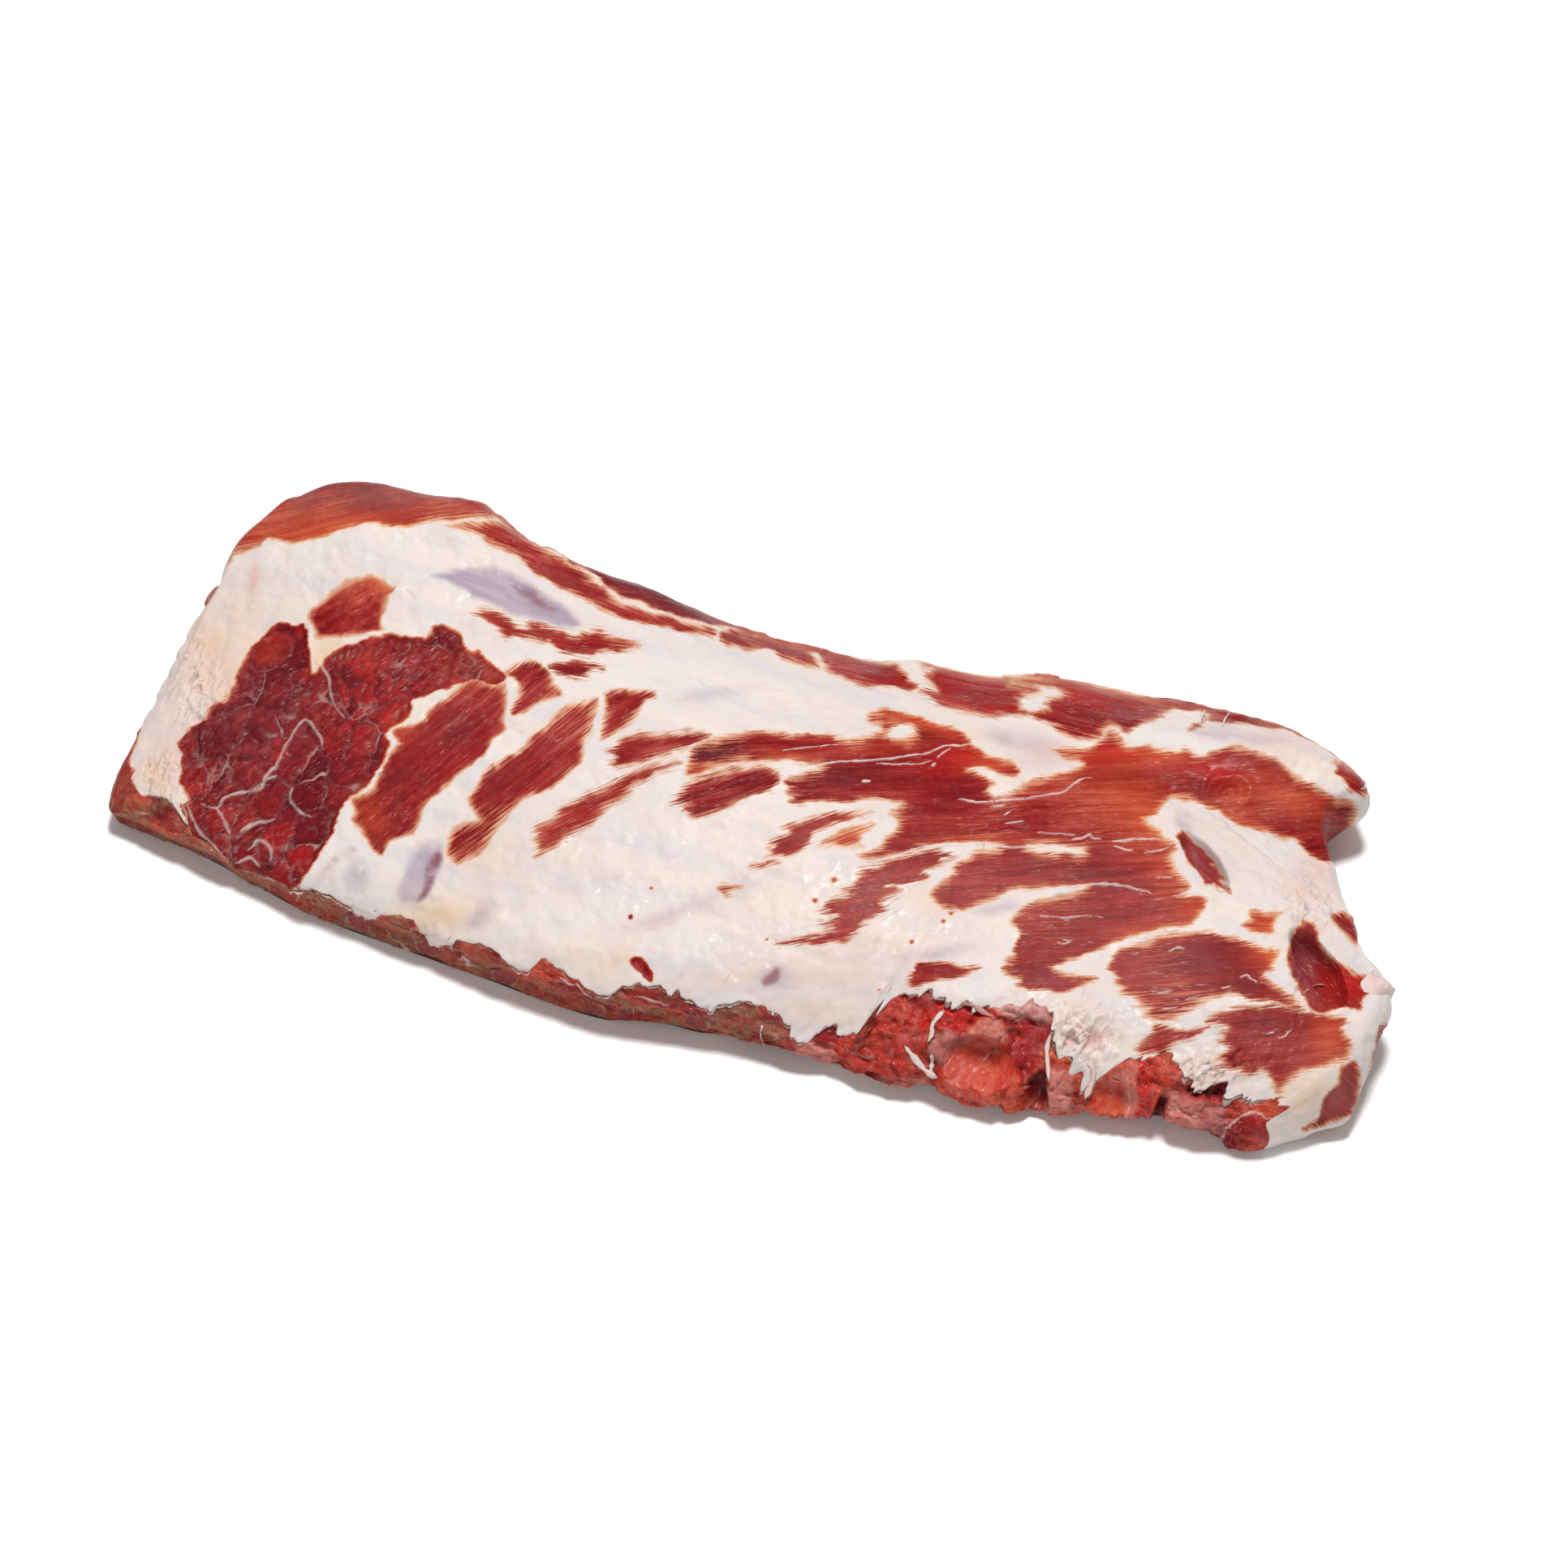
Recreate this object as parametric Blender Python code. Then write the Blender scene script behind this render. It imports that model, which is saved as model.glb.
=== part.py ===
"""Raw pork rib slab, lying bone side down with the lean and fat side up.

A sheet of meat arches over a row of curved ribs that are sawn off flush along
the near edge. A thick roll of lean runs along the far left edge. The near right
edge is torn open, and two deep pockets lie in the right end.

X runs along the slab, Y from the sawn edge to the far edge, Z up. Lengths in
the tables are millimetres, and the origin is on the floor under the middle.
"""

import math

import bmesh
import bpy
import numpy as np
from mathutils import Matrix

MM = 0.001
GAP = 0.3  # clearance left between pieces that touch

# ---- Outline seen from above ------------------------------------------------
CENTRE_X = 3.3  # middle of the outline, which is moved onto the origin
CENTRE_Y = -10.4

# corners of the sawn edge and of the far edge, evenly spaced from left to right
NEAR_EDGE = [(-219, -98), (-190, -102), (-150, -107), (-110, -109), (-70, -112), (-25, -114),
             (10, -108), (50, -103), (90, -104), (137, -95), (175, -88), (204, -81)]
FAR_EDGE = [(-207, 54), (-178, 63), (-145, 66), (-98, 66), (-50, 68), (-5, 73),
            (45, 82), (90, 91), (130, 95), (160, 94), (187, 84)]

# X of the two ends, across the slab: the right end has a shoulder and a waist
ACROSS_END = [0, 0.06, 0.12, 0.25, 0.33, 0.42, 0.52, 0.6, 0.7, 0.8, 0.9, 1]
LEFT_END = [-220, -222, -223, -223, -223, -223, -224, -223, -222, -222, -219, -207]
RIGHT_END = [204, 213, 221, 228, 231, 229, 211, 200, 192, 191, 195, 187]

# ---- Heights, as cross-sections from the sawn edge to the far edge -----------
ACROSS = [0, 0.05, 0.12, 0.25, 0.42, 0.6, 0.75, 0.88, 1]
ALONG = [0, 0.08, 0.18, 0.3, 0.42, 0.55, 0.68, 0.8, 0.92, 1]
TOP = [
    [13, 17, 20, 26, 34, 42, 50, 53, 38],  # left end, with the roll at the back
    [15, 20, 23, 29, 38, 48, 58, 63, 44],
    [17, 22, 25, 31, 40, 50, 58, 62, 42],  # highest part of the roll
    [20, 25, 28, 35, 43, 49, 52, 48, 30],
    [22, 27, 30, 37, 44, 47, 44, 34, 22],  # roll has run out
    [22, 28, 32, 38, 44, 45, 39, 31, 20],
    [12, 22, 32, 38, 43, 43, 39, 33, 22],  # sawn edge turns into the torn edge
    [12, 22, 32, 37, 41, 40, 40, 37, 26],
    [14, 22, 28, 34, 36, 34, 36, 36, 25],
    [16, 20, 25, 30, 30, 28, 30, 32, 22],  # right end
]
# below zero the slab lies flat on the floor, and in between it arches
BOTTOM = [
    [-1, 1, 4, 8, 11, 11, 8, 1, -3],
    [-2, -1, 4, 9, 13, 13, 9, 1, -3],
    [-3, -2, 4, 11, 15, 15, 10, 1, -3],
    [-3, -2, 5, 12, 16, 16, 11, 1, -3],
    [-2, 0, 6, 12, 16, 16, 11, 1, -3],
    [3, 4, 7, 13, 17, 16, 11, 1, -3],
    [5, 6, 8, 12, 15, 15, 10, 1, -3],
    [3, 4, 6, 10, 13, 13, 9, 1, -3],
    [-2, 0, 4, 8, 10, 10, 8, 1, -3],
    [-3, -2, 2, 6, 8, 8, 6, 1, -2],
]
WALL_BULGE = 3.0  # how far the side walls swell out at half height
LIP_OVERHANG = 2.5  # how far the fat hangs out over the sawn face
LIP_DRIPS = [(-96, 16, 2.0), (-62, 15, 2.5), (-24, 14, 2.0), (8, 22, 2.5), (58, 16, 6.0)]
DRIP_DEPTH = 3.0  # how far a drip hangs below the lip

# mounds and hollows of the top: x, y, half length, half width, turn (deg), height
MOUNDS = [
    (-186, 44, 36, 15, 12, 2.0),  # roll, left half
    (-104, 48, 34, 9, -6, 3.0),  # roll tail beside the fascia
    (-128, 25, 62, 8, -5, -2.5),  # valley between the roll and the slab
    (150, 63, 36, 7, 8, 3.0),  # ridge along the far right edge
    (156, 37, 40, 11, 8, -6.0),  # trough below that ridge
    (140, -8, 40, 14, -38, 2.5),  # shoulder beside the small pocket
    (190, -50, 26, 20, 10, 2.5),  # lean cushion in the right corner
    (20, -38, 70, 22, -20, 2.0),  # swell of the fat sheet
    (-150, -50, 45, 26, 20, 2.0),  # swell of the dark lean
]

# ---- Lattice that carries the form -------------------------------------------
CELLS_ALONG = 58
CELLS_ACROSS = 22
CELLS_UP = 4
EDGE_CROWDING = 0.55  # how far the cells across crowd towards both long edges

# ---- Ribs ----------------------------------------------------------------------
RIB_X = [-176, -148, -115, -87, -57, -24, 12, 54]  # sawn ends, along the near edge
TORN_RIB_X = [92, 130, 173]  # ribs whose ends the torn meat covers
RIB_WIDTH = 12.0
RIB_THICKNESS = 7.6
RIB_SKIN = 2.6  # meat and membrane under a rib
RIB_REACH = 0.8  # how far across the slab a rib runs
RIB_STEPS = 9
RIB_SIDES = 10
RIB_PROUD = 0.6  # a sawn end stands this much proud of the meat
CHANNEL_OVERRUN = 16  # how far a rib's channel cutter runs out through the sawn face
RIDGE_DROP = 2.4  # ridge under each rib on the underside
RIDGE_HALF_WIDTH = 8.0

# ---- Pockets: centre, half axes, turn about Z (deg), tilt towards the end (deg) ---
POCKETS = {
    "small_pocket": ((154.5, 4.5, 41), (17, 6.0, 9), -45, 0),
    "end_pocket": ((207, -21, 38), (22, 10.5, 15), -44, 6),
    "torn_hollow_left": ((112, -99, 22), (15, 12, 9), 8, 0),
    "torn_hollow_right": ((157, -95, 17), (12, 11, 8), 12, 0),
    "torn_slot": ((131, -97, 10), (4.5, 10, 6), 30, 0),
}
POCKET_SEGMENTS = 20
POCKET_RINGS = 10

# ---- Cartilage block in the right end, bone disc in the left end -------------------
CARTILAGE_AT = (221.5, -21, 24)
CARTILAGE_SIZE = (12, 17, 13)
CARTILAGE_TURN = -24
DISC_AT = (-221.5, -8, 33)
DISC_RADIUS = 7.0
DISC_LENGTH = 12.0

COLOURS = {
    "meat_slab": ((0.55, 0.17, 0.14), 0.38),
    "rib_bone": ((0.42, 0.31, 0.24), 0.55),
    "cartilage_block": ((0.86, 0.78, 0.74), 0.35),
    "shoulder_bone_end": ((0.55, 0.53, 0.52), 0.5),
}


# ---- The form as a function of three lattice coordinates ---------------------------
def curve_through(stations, values, at):
    """Cubic curve through the values at the stations, with the mean slope at each."""
    stations = np.asarray(stations, float)
    values = np.asarray(values, float)
    at = np.clip(at, stations[0], stations[-1])
    slope = np.diff(values) / np.diff(stations)
    tangent = np.concatenate([slope[..., :1], (slope[..., 1:] + slope[..., :-1]) / 2,
                              slope[..., -1:]], axis=-1)
    cell = np.clip(np.searchsorted(stations, at, side="right") - 1, 0, len(stations) - 2)
    width = stations[cell + 1] - stations[cell]
    t = (at - stations[cell]) / width
    if values.ndim == 2:
        pick = (np.arange(len(at)), cell)
        nxt = (np.arange(len(at)), cell + 1)
    else:
        pick, nxt = cell, cell + 1
    return ((2 * t**3 - 3 * t**2 + 1) * values[pick] + (t**3 - 2 * t**2 + t) * width * tangent[pick]
            + (3 * t**2 - 2 * t**3) * values[nxt] + (t**3 - t**2) * width * tangent[nxt])


def section_height(table, u, v):
    """Height read from a table of cross-sections, smooth both ways."""
    rows = np.stack([curve_through(ACROSS, row, v) for row in table], axis=-1)
    return curve_through(ALONG, rows, u)


def plan_position(u, v):
    """X and Y at u along the slab and v across it."""
    along_near = np.linspace(0, 1, len(NEAR_EDGE))
    along_far = np.linspace(0, 1, len(FAR_EDGE))
    near = [curve_through(along_near, [p[k] for p in NEAR_EDGE], u) for k in (0, 1)]
    far = [curve_through(along_far, [p[k] for p in FAR_EDGE], u) for k in (0, 1)]
    left = curve_through(ACROSS_END, LEFT_END, v) - (NEAR_EDGE[0][0] * (1 - v) + FAR_EDGE[0][0] * v)
    right = curve_through(ACROSS_END, RIGHT_END, v) - (NEAR_EDGE[-1][0] * (1 - v) + FAR_EDGE[-1][0] * v)
    x = near[0] * (1 - v) + far[0] * v + left * (1 - u) ** 3 + right * u**3
    y = near[1] * (1 - v) + far[1] * v
    return x, y


def mound_height(x, y):
    """Sum of the rounded mounds and hollows of the top."""
    height = np.zeros_like(x)
    for cx, cy, half_length, half_width, turn, rise in MOUNDS:
        c, s = math.cos(math.radians(turn)), math.sin(math.radians(turn))
        a = ((x - cx) * c + (y - cy) * s) / half_length
        b = ((y - cy) * c - (x - cx) * s) / half_width
        height += rise * np.exp(-(a * a + b * b))
    return height


def rib_u(near_x):
    """Place u of the rib whose sawn end is at near_x."""
    u = np.linspace(0, 1, 400)
    x, _ = plan_position(u, np.zeros_like(u))
    return float(np.interp(near_x, x, u))


def rib_ridge(u, v):
    """Ridges that the ribs press into the underside, fading out where they end."""
    depth = np.zeros_like(u)
    x, _ = plan_position(u, v)
    for near_x in RIB_X + TORN_RIB_X:
        rib_x, _ = plan_position(np.full_like(u, rib_u(near_x)), v)
        depth += RIDGE_DROP * np.exp(-((x - rib_x) / RIDGE_HALF_WIDTH) ** 2)
    return depth * np.clip((RIB_REACH + 0.06 - v) / 0.12, 0, 1)


def underside(u, v):
    """Height of the underside; it is flat where it lies on the floor."""
    return np.maximum(section_height(BOTTOM, u, v) + RIDGE_DROP / 2 - rib_ridge(u, v), 0)


def lip_reach(x):
    """How far the fat lip hangs out and down at x, larger at each drip."""
    reach = np.full_like(x, 1.0)
    for at, half_width, extra in LIP_DRIPS:
        reach += extra / 2 * np.exp(-((x - at) / half_width) ** 2)
    return reach


def slab_point(u, v, w):
    """Point of the slab at lattice coordinates u along, v across, w up, in metres."""
    x, y = plan_position(u, v)
    low = underside(u, v)
    high = section_height(TOP, u, v) + mound_height(x, y)
    z = low + (high - low) * w
    bulge = WALL_BULGE * np.sin(math.pi * w)
    x = x + bulge * (np.clip((u - 0.96) / 0.04, 0, 1) - np.clip((0.04 - u) / 0.04, 0, 1))
    y = y + bulge * np.clip((v - 0.93) / 0.07, 0, 1)
    rim = np.clip((0.05 - v) / 0.05, 0, 1) * np.clip((0.66 - u) / 0.03, 0, 1)
    reach = lip_reach(x)
    y = y - LIP_OVERHANG * reach * rim * (w**2 - 0.35 * np.sin(math.pi * w))
    z = z - DRIP_DEPTH * (reach - 1) * rim * w**2
    return np.stack([x - CENTRE_X, y - CENTRE_Y, z], axis=-1) * MM


# ---- Building blocks ------------------------------------------------------------------
def new_collection(name):
    collection = bpy.data.collections.new(name)
    bpy.context.scene.collection.children.link(collection)
    return collection


def material_of(name):
    colour, roughness = COLOURS[name]
    material = bpy.data.materials.new(name)
    material.use_nodes = True
    shader = material.node_tree.nodes["Principled BSDF"]
    shader.inputs["Base Color"].default_value = (*colour, 1)
    shader.inputs["Roughness"].default_value = roughness
    shader.inputs["Metallic"].default_value = 0.0
    return material


def object_from(bm, name, collection, material=None):
    mesh = bpy.data.meshes.new(name)
    bm.to_mesh(mesh)
    bm.free()
    mesh.shade_smooth()
    obj = bpy.data.objects.new(name, mesh)
    if material:
        mesh.materials.append(material)
    collection.objects.link(obj)
    return obj


def hide_cutter(obj):
    obj.hide_render = True
    obj.display_type = "WIRE"


def cut(target, cutter):
    """Subtract a closed cutter from the target."""
    hide_cutter(cutter)
    modifier = target.modifiers.new("cut_" + cutter.name, "BOOLEAN")
    modifier.operation = "DIFFERENCE"
    modifier.solver = "EXACT"
    modifier.object = cutter


def lattice_cube():
    """Unit cube from 0 to 1 whose faces carry the lattice of cells."""
    bm = bmesh.new()
    bmesh.ops.create_cube(bm, size=1, matrix=Matrix.Translation((0.5, 0.5, 0.5)))
    for axis, cells in enumerate((CELLS_ALONG, CELLS_ACROSS, CELLS_UP)):
        edges = [e for e in bm.edges if abs(e.verts[0].co[axis] - e.verts[1].co[axis]) > 0.5]
        bmesh.ops.subdivide_edges(bm, edges=edges, cuts=cells - 1, use_grid_fill=True)
    return bm


def build_slab(collection):
    """The meat: the lattice cube bent into the slab's form."""
    bm = lattice_cube()
    u, v, w = np.array([vertex.co for vertex in bm.verts]).T
    v = (1 - EDGE_CROWDING) * v + EDGE_CROWDING * (1 - np.cos(math.pi * v)) / 2
    for vertex, place in zip(bm.verts, slab_point(u, v, w)):
        vertex.co = place
    return object_from(bm, "meat_slab", collection, material_of("meat_slab"))


def rib_path(near_x):
    """Centre line of a rib from the sawn face to its blind end, riding over the underside."""
    v = np.linspace(0, RIB_REACH, RIB_STEPS)
    u = np.full_like(v, rib_u(near_x))
    x, y = plan_position(u, v)
    z = np.maximum(section_height(BOTTOM, u, v) - RIDGE_DROP / 2, 0) + RIB_SKIN + RIB_THICKNESS / 2
    return np.stack([x - CENTRE_X, y - CENTRE_Y, z], axis=-1) * MM


def lengthened(path, at_start, at_end):
    """The path with both ends moved outwards along their own direction, in millimetres."""
    longer = path.copy()
    for end, inner, extra in ((0, 1, at_start), (-1, -2, at_end)):
        direction = path[end] - path[inner]
        longer[end] += direction / np.linalg.norm(direction) * extra * MM
    return longer


def swept_bone(name, path, margin, collection, material=None):
    """Flattened rod along the path: an oval profile on a curve, made a closed mesh."""
    profile = bpy.data.curves.new(name + "_profile", "CURVE")
    profile.dimensions = "2D"
    oval = profile.splines.new("POLY")
    oval.points.add(RIB_SIDES - 1)
    oval.use_cyclic_u = True
    for k in range(RIB_SIDES):
        turn = 2 * math.pi * k / RIB_SIDES
        oval.points[k].co = ((RIB_WIDTH / 2 + margin) * MM * math.cos(turn),
                             (RIB_THICKNESS / 2 + margin) * MM * math.sin(turn), 0, 1)
    profile_object = bpy.data.objects.new(name + "_profile", profile)
    curve = bpy.data.curves.new(name + "_path", "CURVE")
    curve.dimensions = "3D"
    curve.twist_mode = "Z_UP"
    curve.bevel_mode = "OBJECT"
    curve.bevel_object = profile_object
    curve.use_fill_caps = True
    line = curve.splines.new("POLY")
    line.points.add(len(path) - 1)
    for point, place in zip(line.points, path):
        point.co = (*place, 1)
    curve_object = bpy.data.objects.new(name + "_path", curve)
    for helper in (profile_object, curve_object):
        bpy.context.scene.collection.objects.link(helper)
    bpy.context.view_layer.update()
    evaluated = curve_object.evaluated_get(bpy.context.evaluated_depsgraph_get())
    mesh = bpy.data.meshes.new_from_object(evaluated)
    bm = bmesh.new()
    bm.from_mesh(mesh)
    bmesh.ops.remove_doubles(bm, verts=bm.verts, dist=0.00001)
    bmesh.ops.recalc_face_normals(bm, faces=bm.faces)
    bpy.data.objects.remove(curve_object)
    bpy.data.objects.remove(profile_object)
    bpy.data.meshes.remove(mesh)
    return object_from(bm, name, collection, material)


def build_ribs(slab, collection, cutters):
    """Each rib lies in its own blind channel, open only at the sawn face."""
    material = material_of("rib_bone")
    for number, near_x in enumerate(RIB_X, start=1):
        name = "rib_bone_%02d" % number
        path = rib_path(near_x)
        swept_bone(name, lengthened(path, RIB_PROUD, 0), 0, collection, material)
        channel = lengthened(path, CHANNEL_OVERRUN, GAP)
        cut(slab, swept_bone(name + "_channel", channel, GAP, cutters))


def ellipsoid(name, centre, half_axes, turn, tilt, collection, material=None):
    """Ellipsoid with its half axes turned about Z and tilted about Y."""
    bm = bmesh.new()
    place = Matrix.Translation(((centre[0] - CENTRE_X) * MM, (centre[1] - CENTRE_Y) * MM, centre[2] * MM))
    place = place @ Matrix.Rotation(math.radians(turn), 4, "Z") @ Matrix.Rotation(math.radians(tilt), 4, "Y")
    place = place @ Matrix.Diagonal((*[a * MM for a in half_axes], 1))
    bmesh.ops.create_uvsphere(bm, u_segments=POCKET_SEGMENTS, v_segments=POCKET_RINGS, radius=1, matrix=place)
    return object_from(bm, name, collection, material)


def rounded_block(name, centre, size, turn, collection, material=None):
    """Block with generously rounded edges, turned about Z."""
    bm = bmesh.new()
    place = Matrix.Translation(((centre[0] - CENTRE_X) * MM, (centre[1] - CENTRE_Y) * MM, centre[2] * MM))
    place = place @ Matrix.Rotation(math.radians(turn), 4, "Z") @ Matrix.Diagonal((*[s * MM for s in size], 1))
    bmesh.ops.create_cube(bm, size=1, matrix=place)
    bmesh.ops.bevel(bm, geom=bm.edges[:], offset=min(size) * 0.28 * MM, segments=2, profile=0.5,
                    affect="EDGES")
    return object_from(bm, name, collection, material)


def disc(name, centre, radius, length, collection, material=None):
    """Short bone stub along X, with its rim rounded off."""
    bm = bmesh.new()
    place = Matrix.Translation(((centre[0] - CENTRE_X) * MM, (centre[1] - CENTRE_Y) * MM, centre[2] * MM))
    place = place @ Matrix.Rotation(math.radians(90), 4, "Y")
    bmesh.ops.create_cone(bm, cap_ends=True, segments=20, radius1=radius * MM, radius2=radius * MM,
                          depth=length * MM, matrix=place)
    return object_from(bm, name, collection, material)


def build_end_pieces(slab, collection, cutters):
    """Cartilage block in the right end and sawn bone disc in the left end."""
    rounded_block("cartilage_block", CARTILAGE_AT, CARTILAGE_SIZE, CARTILAGE_TURN, collection,
                  material_of("cartilage_block"))
    socket_size = [s + 2 * GAP for s in CARTILAGE_SIZE]
    cut(slab, rounded_block("cartilage_socket", CARTILAGE_AT, socket_size, CARTILAGE_TURN, cutters))
    disc("shoulder_bone_end", DISC_AT, DISC_RADIUS, DISC_LENGTH, collection,
         material_of("shoulder_bone_end"))
    cut(slab, disc("disc_socket", DISC_AT, DISC_RADIUS + GAP, DISC_LENGTH + 2 * GAP, cutters))


def build_pockets(slab, cutters):
    for name, (centre, half_axes, turn, tilt) in POCKETS.items():
        cut(slab, ellipsoid(name, centre, half_axes, turn, tilt, cutters))


def main():
    for obj in list(bpy.data.objects):
        bpy.data.objects.remove(obj, do_unlink=True)
    collection = new_collection("Pork_Rib_Slab")
    cutters = new_collection("Cutters")
    slab = build_slab(collection)
    build_ribs(slab, collection, cutters)
    build_end_pieces(slab, collection, cutters)
    build_pockets(slab, cutters)


main()
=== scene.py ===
"""Raw pork rib slab: marbled lean and a thick white fat sheet over a row of sawn ribs.

The slab is a bent box. A point of the box (s along, t across, h up, millimetres) has its
edges rounded, and is carried into the slab's form by the same tables as the solid. Every
outer surface of the meat is a grid of such points, lifted along its normal by the relief.
Lean, fat, veins and stains are outlines read off the photograph, in its pixels,
and kept on the vertices as masks that the materials mix.
"""
import math

import bmesh
import bpy
import numpy as np
from mathutils.bvhtree import BVHTree
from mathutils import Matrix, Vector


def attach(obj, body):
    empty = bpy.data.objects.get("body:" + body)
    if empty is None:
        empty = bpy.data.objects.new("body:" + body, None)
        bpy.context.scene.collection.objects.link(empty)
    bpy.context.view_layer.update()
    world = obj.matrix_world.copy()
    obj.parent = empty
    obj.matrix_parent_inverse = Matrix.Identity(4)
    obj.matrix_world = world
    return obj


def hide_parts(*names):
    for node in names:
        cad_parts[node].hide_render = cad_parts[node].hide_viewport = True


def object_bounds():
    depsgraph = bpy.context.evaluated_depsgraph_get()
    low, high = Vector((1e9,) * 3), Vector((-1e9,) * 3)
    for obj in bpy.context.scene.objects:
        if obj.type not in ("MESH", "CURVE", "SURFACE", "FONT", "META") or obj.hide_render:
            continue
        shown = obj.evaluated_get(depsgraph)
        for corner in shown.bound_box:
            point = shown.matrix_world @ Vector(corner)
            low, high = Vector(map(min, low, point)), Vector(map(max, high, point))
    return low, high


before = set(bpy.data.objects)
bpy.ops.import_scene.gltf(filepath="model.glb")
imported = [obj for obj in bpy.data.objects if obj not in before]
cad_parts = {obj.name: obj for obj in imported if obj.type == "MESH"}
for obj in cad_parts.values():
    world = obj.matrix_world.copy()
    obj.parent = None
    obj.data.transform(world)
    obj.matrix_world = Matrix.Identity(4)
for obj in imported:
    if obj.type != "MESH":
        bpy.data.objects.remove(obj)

SOLID_BOX = [list(corner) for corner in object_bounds()]
MM = 0.001
BOX_MARGIN = 0.02  # millimetres by which every vertex stays inside the solid's box
FLOOR_GAP = 0.05  # least height of the underside over z = 0, in millimetres

# ---- Camera ----------------------------------------------------------------------------
TURN = math.radians(23)
RISE = math.radians(45)
LENS = 85
SENSOR = 36
DISTANCE = 1.32
AIM = np.array([-0.0033, 0.0104, 0.02])
PICTURE = 1932
BACK = np.array([math.sin(TURN) * math.cos(RISE), -math.cos(TURN) * math.cos(RISE), math.sin(RISE)])
RIGHT = np.array([math.cos(TURN), math.sin(TURN), 0.0])
UP = np.cross(BACK, RIGHT)
EYE = AIM + BACK * DISTANCE
FOCAL = LENS / SENSOR * PICTURE
PIXELS_PER_MM = 3.46  # in the middle of the slab

# ---- Form of the slab, as in the solid -------------------------------------------------
CENTRE_X = 3.3
CENTRE_Y = -10.4
NEAR_EDGE = [(-219, -98), (-190, -102), (-150, -107), (-110, -109), (-70, -112), (-25, -114),
             (10, -108), (50, -103), (90, -104), (137, -95), (175, -88), (204, -81)]
FAR_EDGE = [(-207, 54), (-178, 63), (-145, 66), (-98, 66), (-50, 68), (-5, 73),
            (45, 82), (90, 91), (130, 95), (160, 94), (187, 84)]
ACROSS_END = [0, 0.06, 0.12, 0.25, 0.33, 0.42, 0.52, 0.6, 0.7, 0.8, 0.9, 1]
LEFT_END = [-220, -222, -223, -223, -223, -223, -224, -223, -222, -222, -219, -207]
RIGHT_END = [204, 213, 221, 228, 231, 229, 211, 200, 192, 191, 195, 187]
ACROSS = [0, 0.05, 0.12, 0.25, 0.42, 0.6, 0.75, 0.88, 1]
ALONG = [0, 0.08, 0.18, 0.3, 0.42, 0.55, 0.68, 0.8, 0.92, 1]
TOP = [
    [13, 17, 20, 26, 34, 42, 50, 53, 38],
    [15, 20, 23, 29, 38, 48, 58, 63, 44],
    [17, 22, 25, 31, 40, 50, 58, 62, 42],
    [20, 25, 28, 35, 43, 49, 52, 48, 30],
    [22, 27, 30, 37, 44, 47, 44, 34, 22],
    [22, 28, 32, 38, 44, 45, 39, 31, 20],
    [12, 22, 32, 38, 43, 43, 39, 33, 22],
    [12, 22, 32, 37, 41, 40, 40, 37, 26],
    [14, 22, 28, 34, 36, 34, 36, 36, 25],
    [16, 20, 25, 30, 30, 28, 30, 32, 22],
]
BOTTOM = [
    [-1, 1, 4, 8, 11, 11, 8, 1, -3],
    [-2, -1, 4, 9, 13, 13, 9, 1, -3],
    [-3, -2, 4, 11, 15, 15, 10, 1, -3],
    [-3, -2, 5, 12, 16, 16, 11, 1, -3],
    [-2, 0, 6, 12, 16, 16, 11, 1, -3],
    [3, 4, 7, 13, 17, 16, 11, 1, -3],
    [5, 6, 8, 12, 15, 15, 10, 1, -3],
    [3, 4, 6, 10, 13, 13, 9, 1, -3],
    [-2, 0, 4, 8, 10, 10, 8, 1, -3],
    [-3, -2, 2, 6, 8, 8, 6, 1, -2],
]
WALL_BULGE = 3.0
LIP_OVERHANG = 2.5
LIP_DRIPS = [(-96, 16, 2.0), (-62, 15, 2.5), (-24, 14, 2.0), (8, 22, 2.5), (58, 16, 6.0)]
DRIP_DEPTH = 3.0
MOUNDS = [
    (-186, 44, 36, 15, 12, 2.0), (-104, 48, 34, 9, -6, 3.0), (-128, 25, 62, 8, -5, -2.5),
    (150, 63, 36, 7, 8, 3.0), (156, 37, 40, 11, 8, -6.0), (140, -8, 40, 14, -38, 2.5),
    (190, -50, 26, 20, 10, 2.5), (20, -38, 70, 22, -20, 2.0), (-150, -50, 45, 26, 20, 2.0),
]
RIB_X = [-176, -148, -115, -87, -57, -24, 12, 54]
TORN_RIB_X = [92, 130, 173]
RIB_WIDTH = 12.0
RIB_THICKNESS = 7.6
RIB_SKIN = 2.6
RIB_START, RIB_REACH = 0.008, 0.8  # share of the width at which a rib begins and ends
RIDGE_DROP = 2.4
RIDGE_HALF_WIDTH = 8.0

LONG, WIDE, THICK = 440.0, 190.0, 32.0  # the box that is bent into the slab
ROUND = np.array([4.0, 6.0, 6.0])  # rounding of the box's edges along s, t and h

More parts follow.
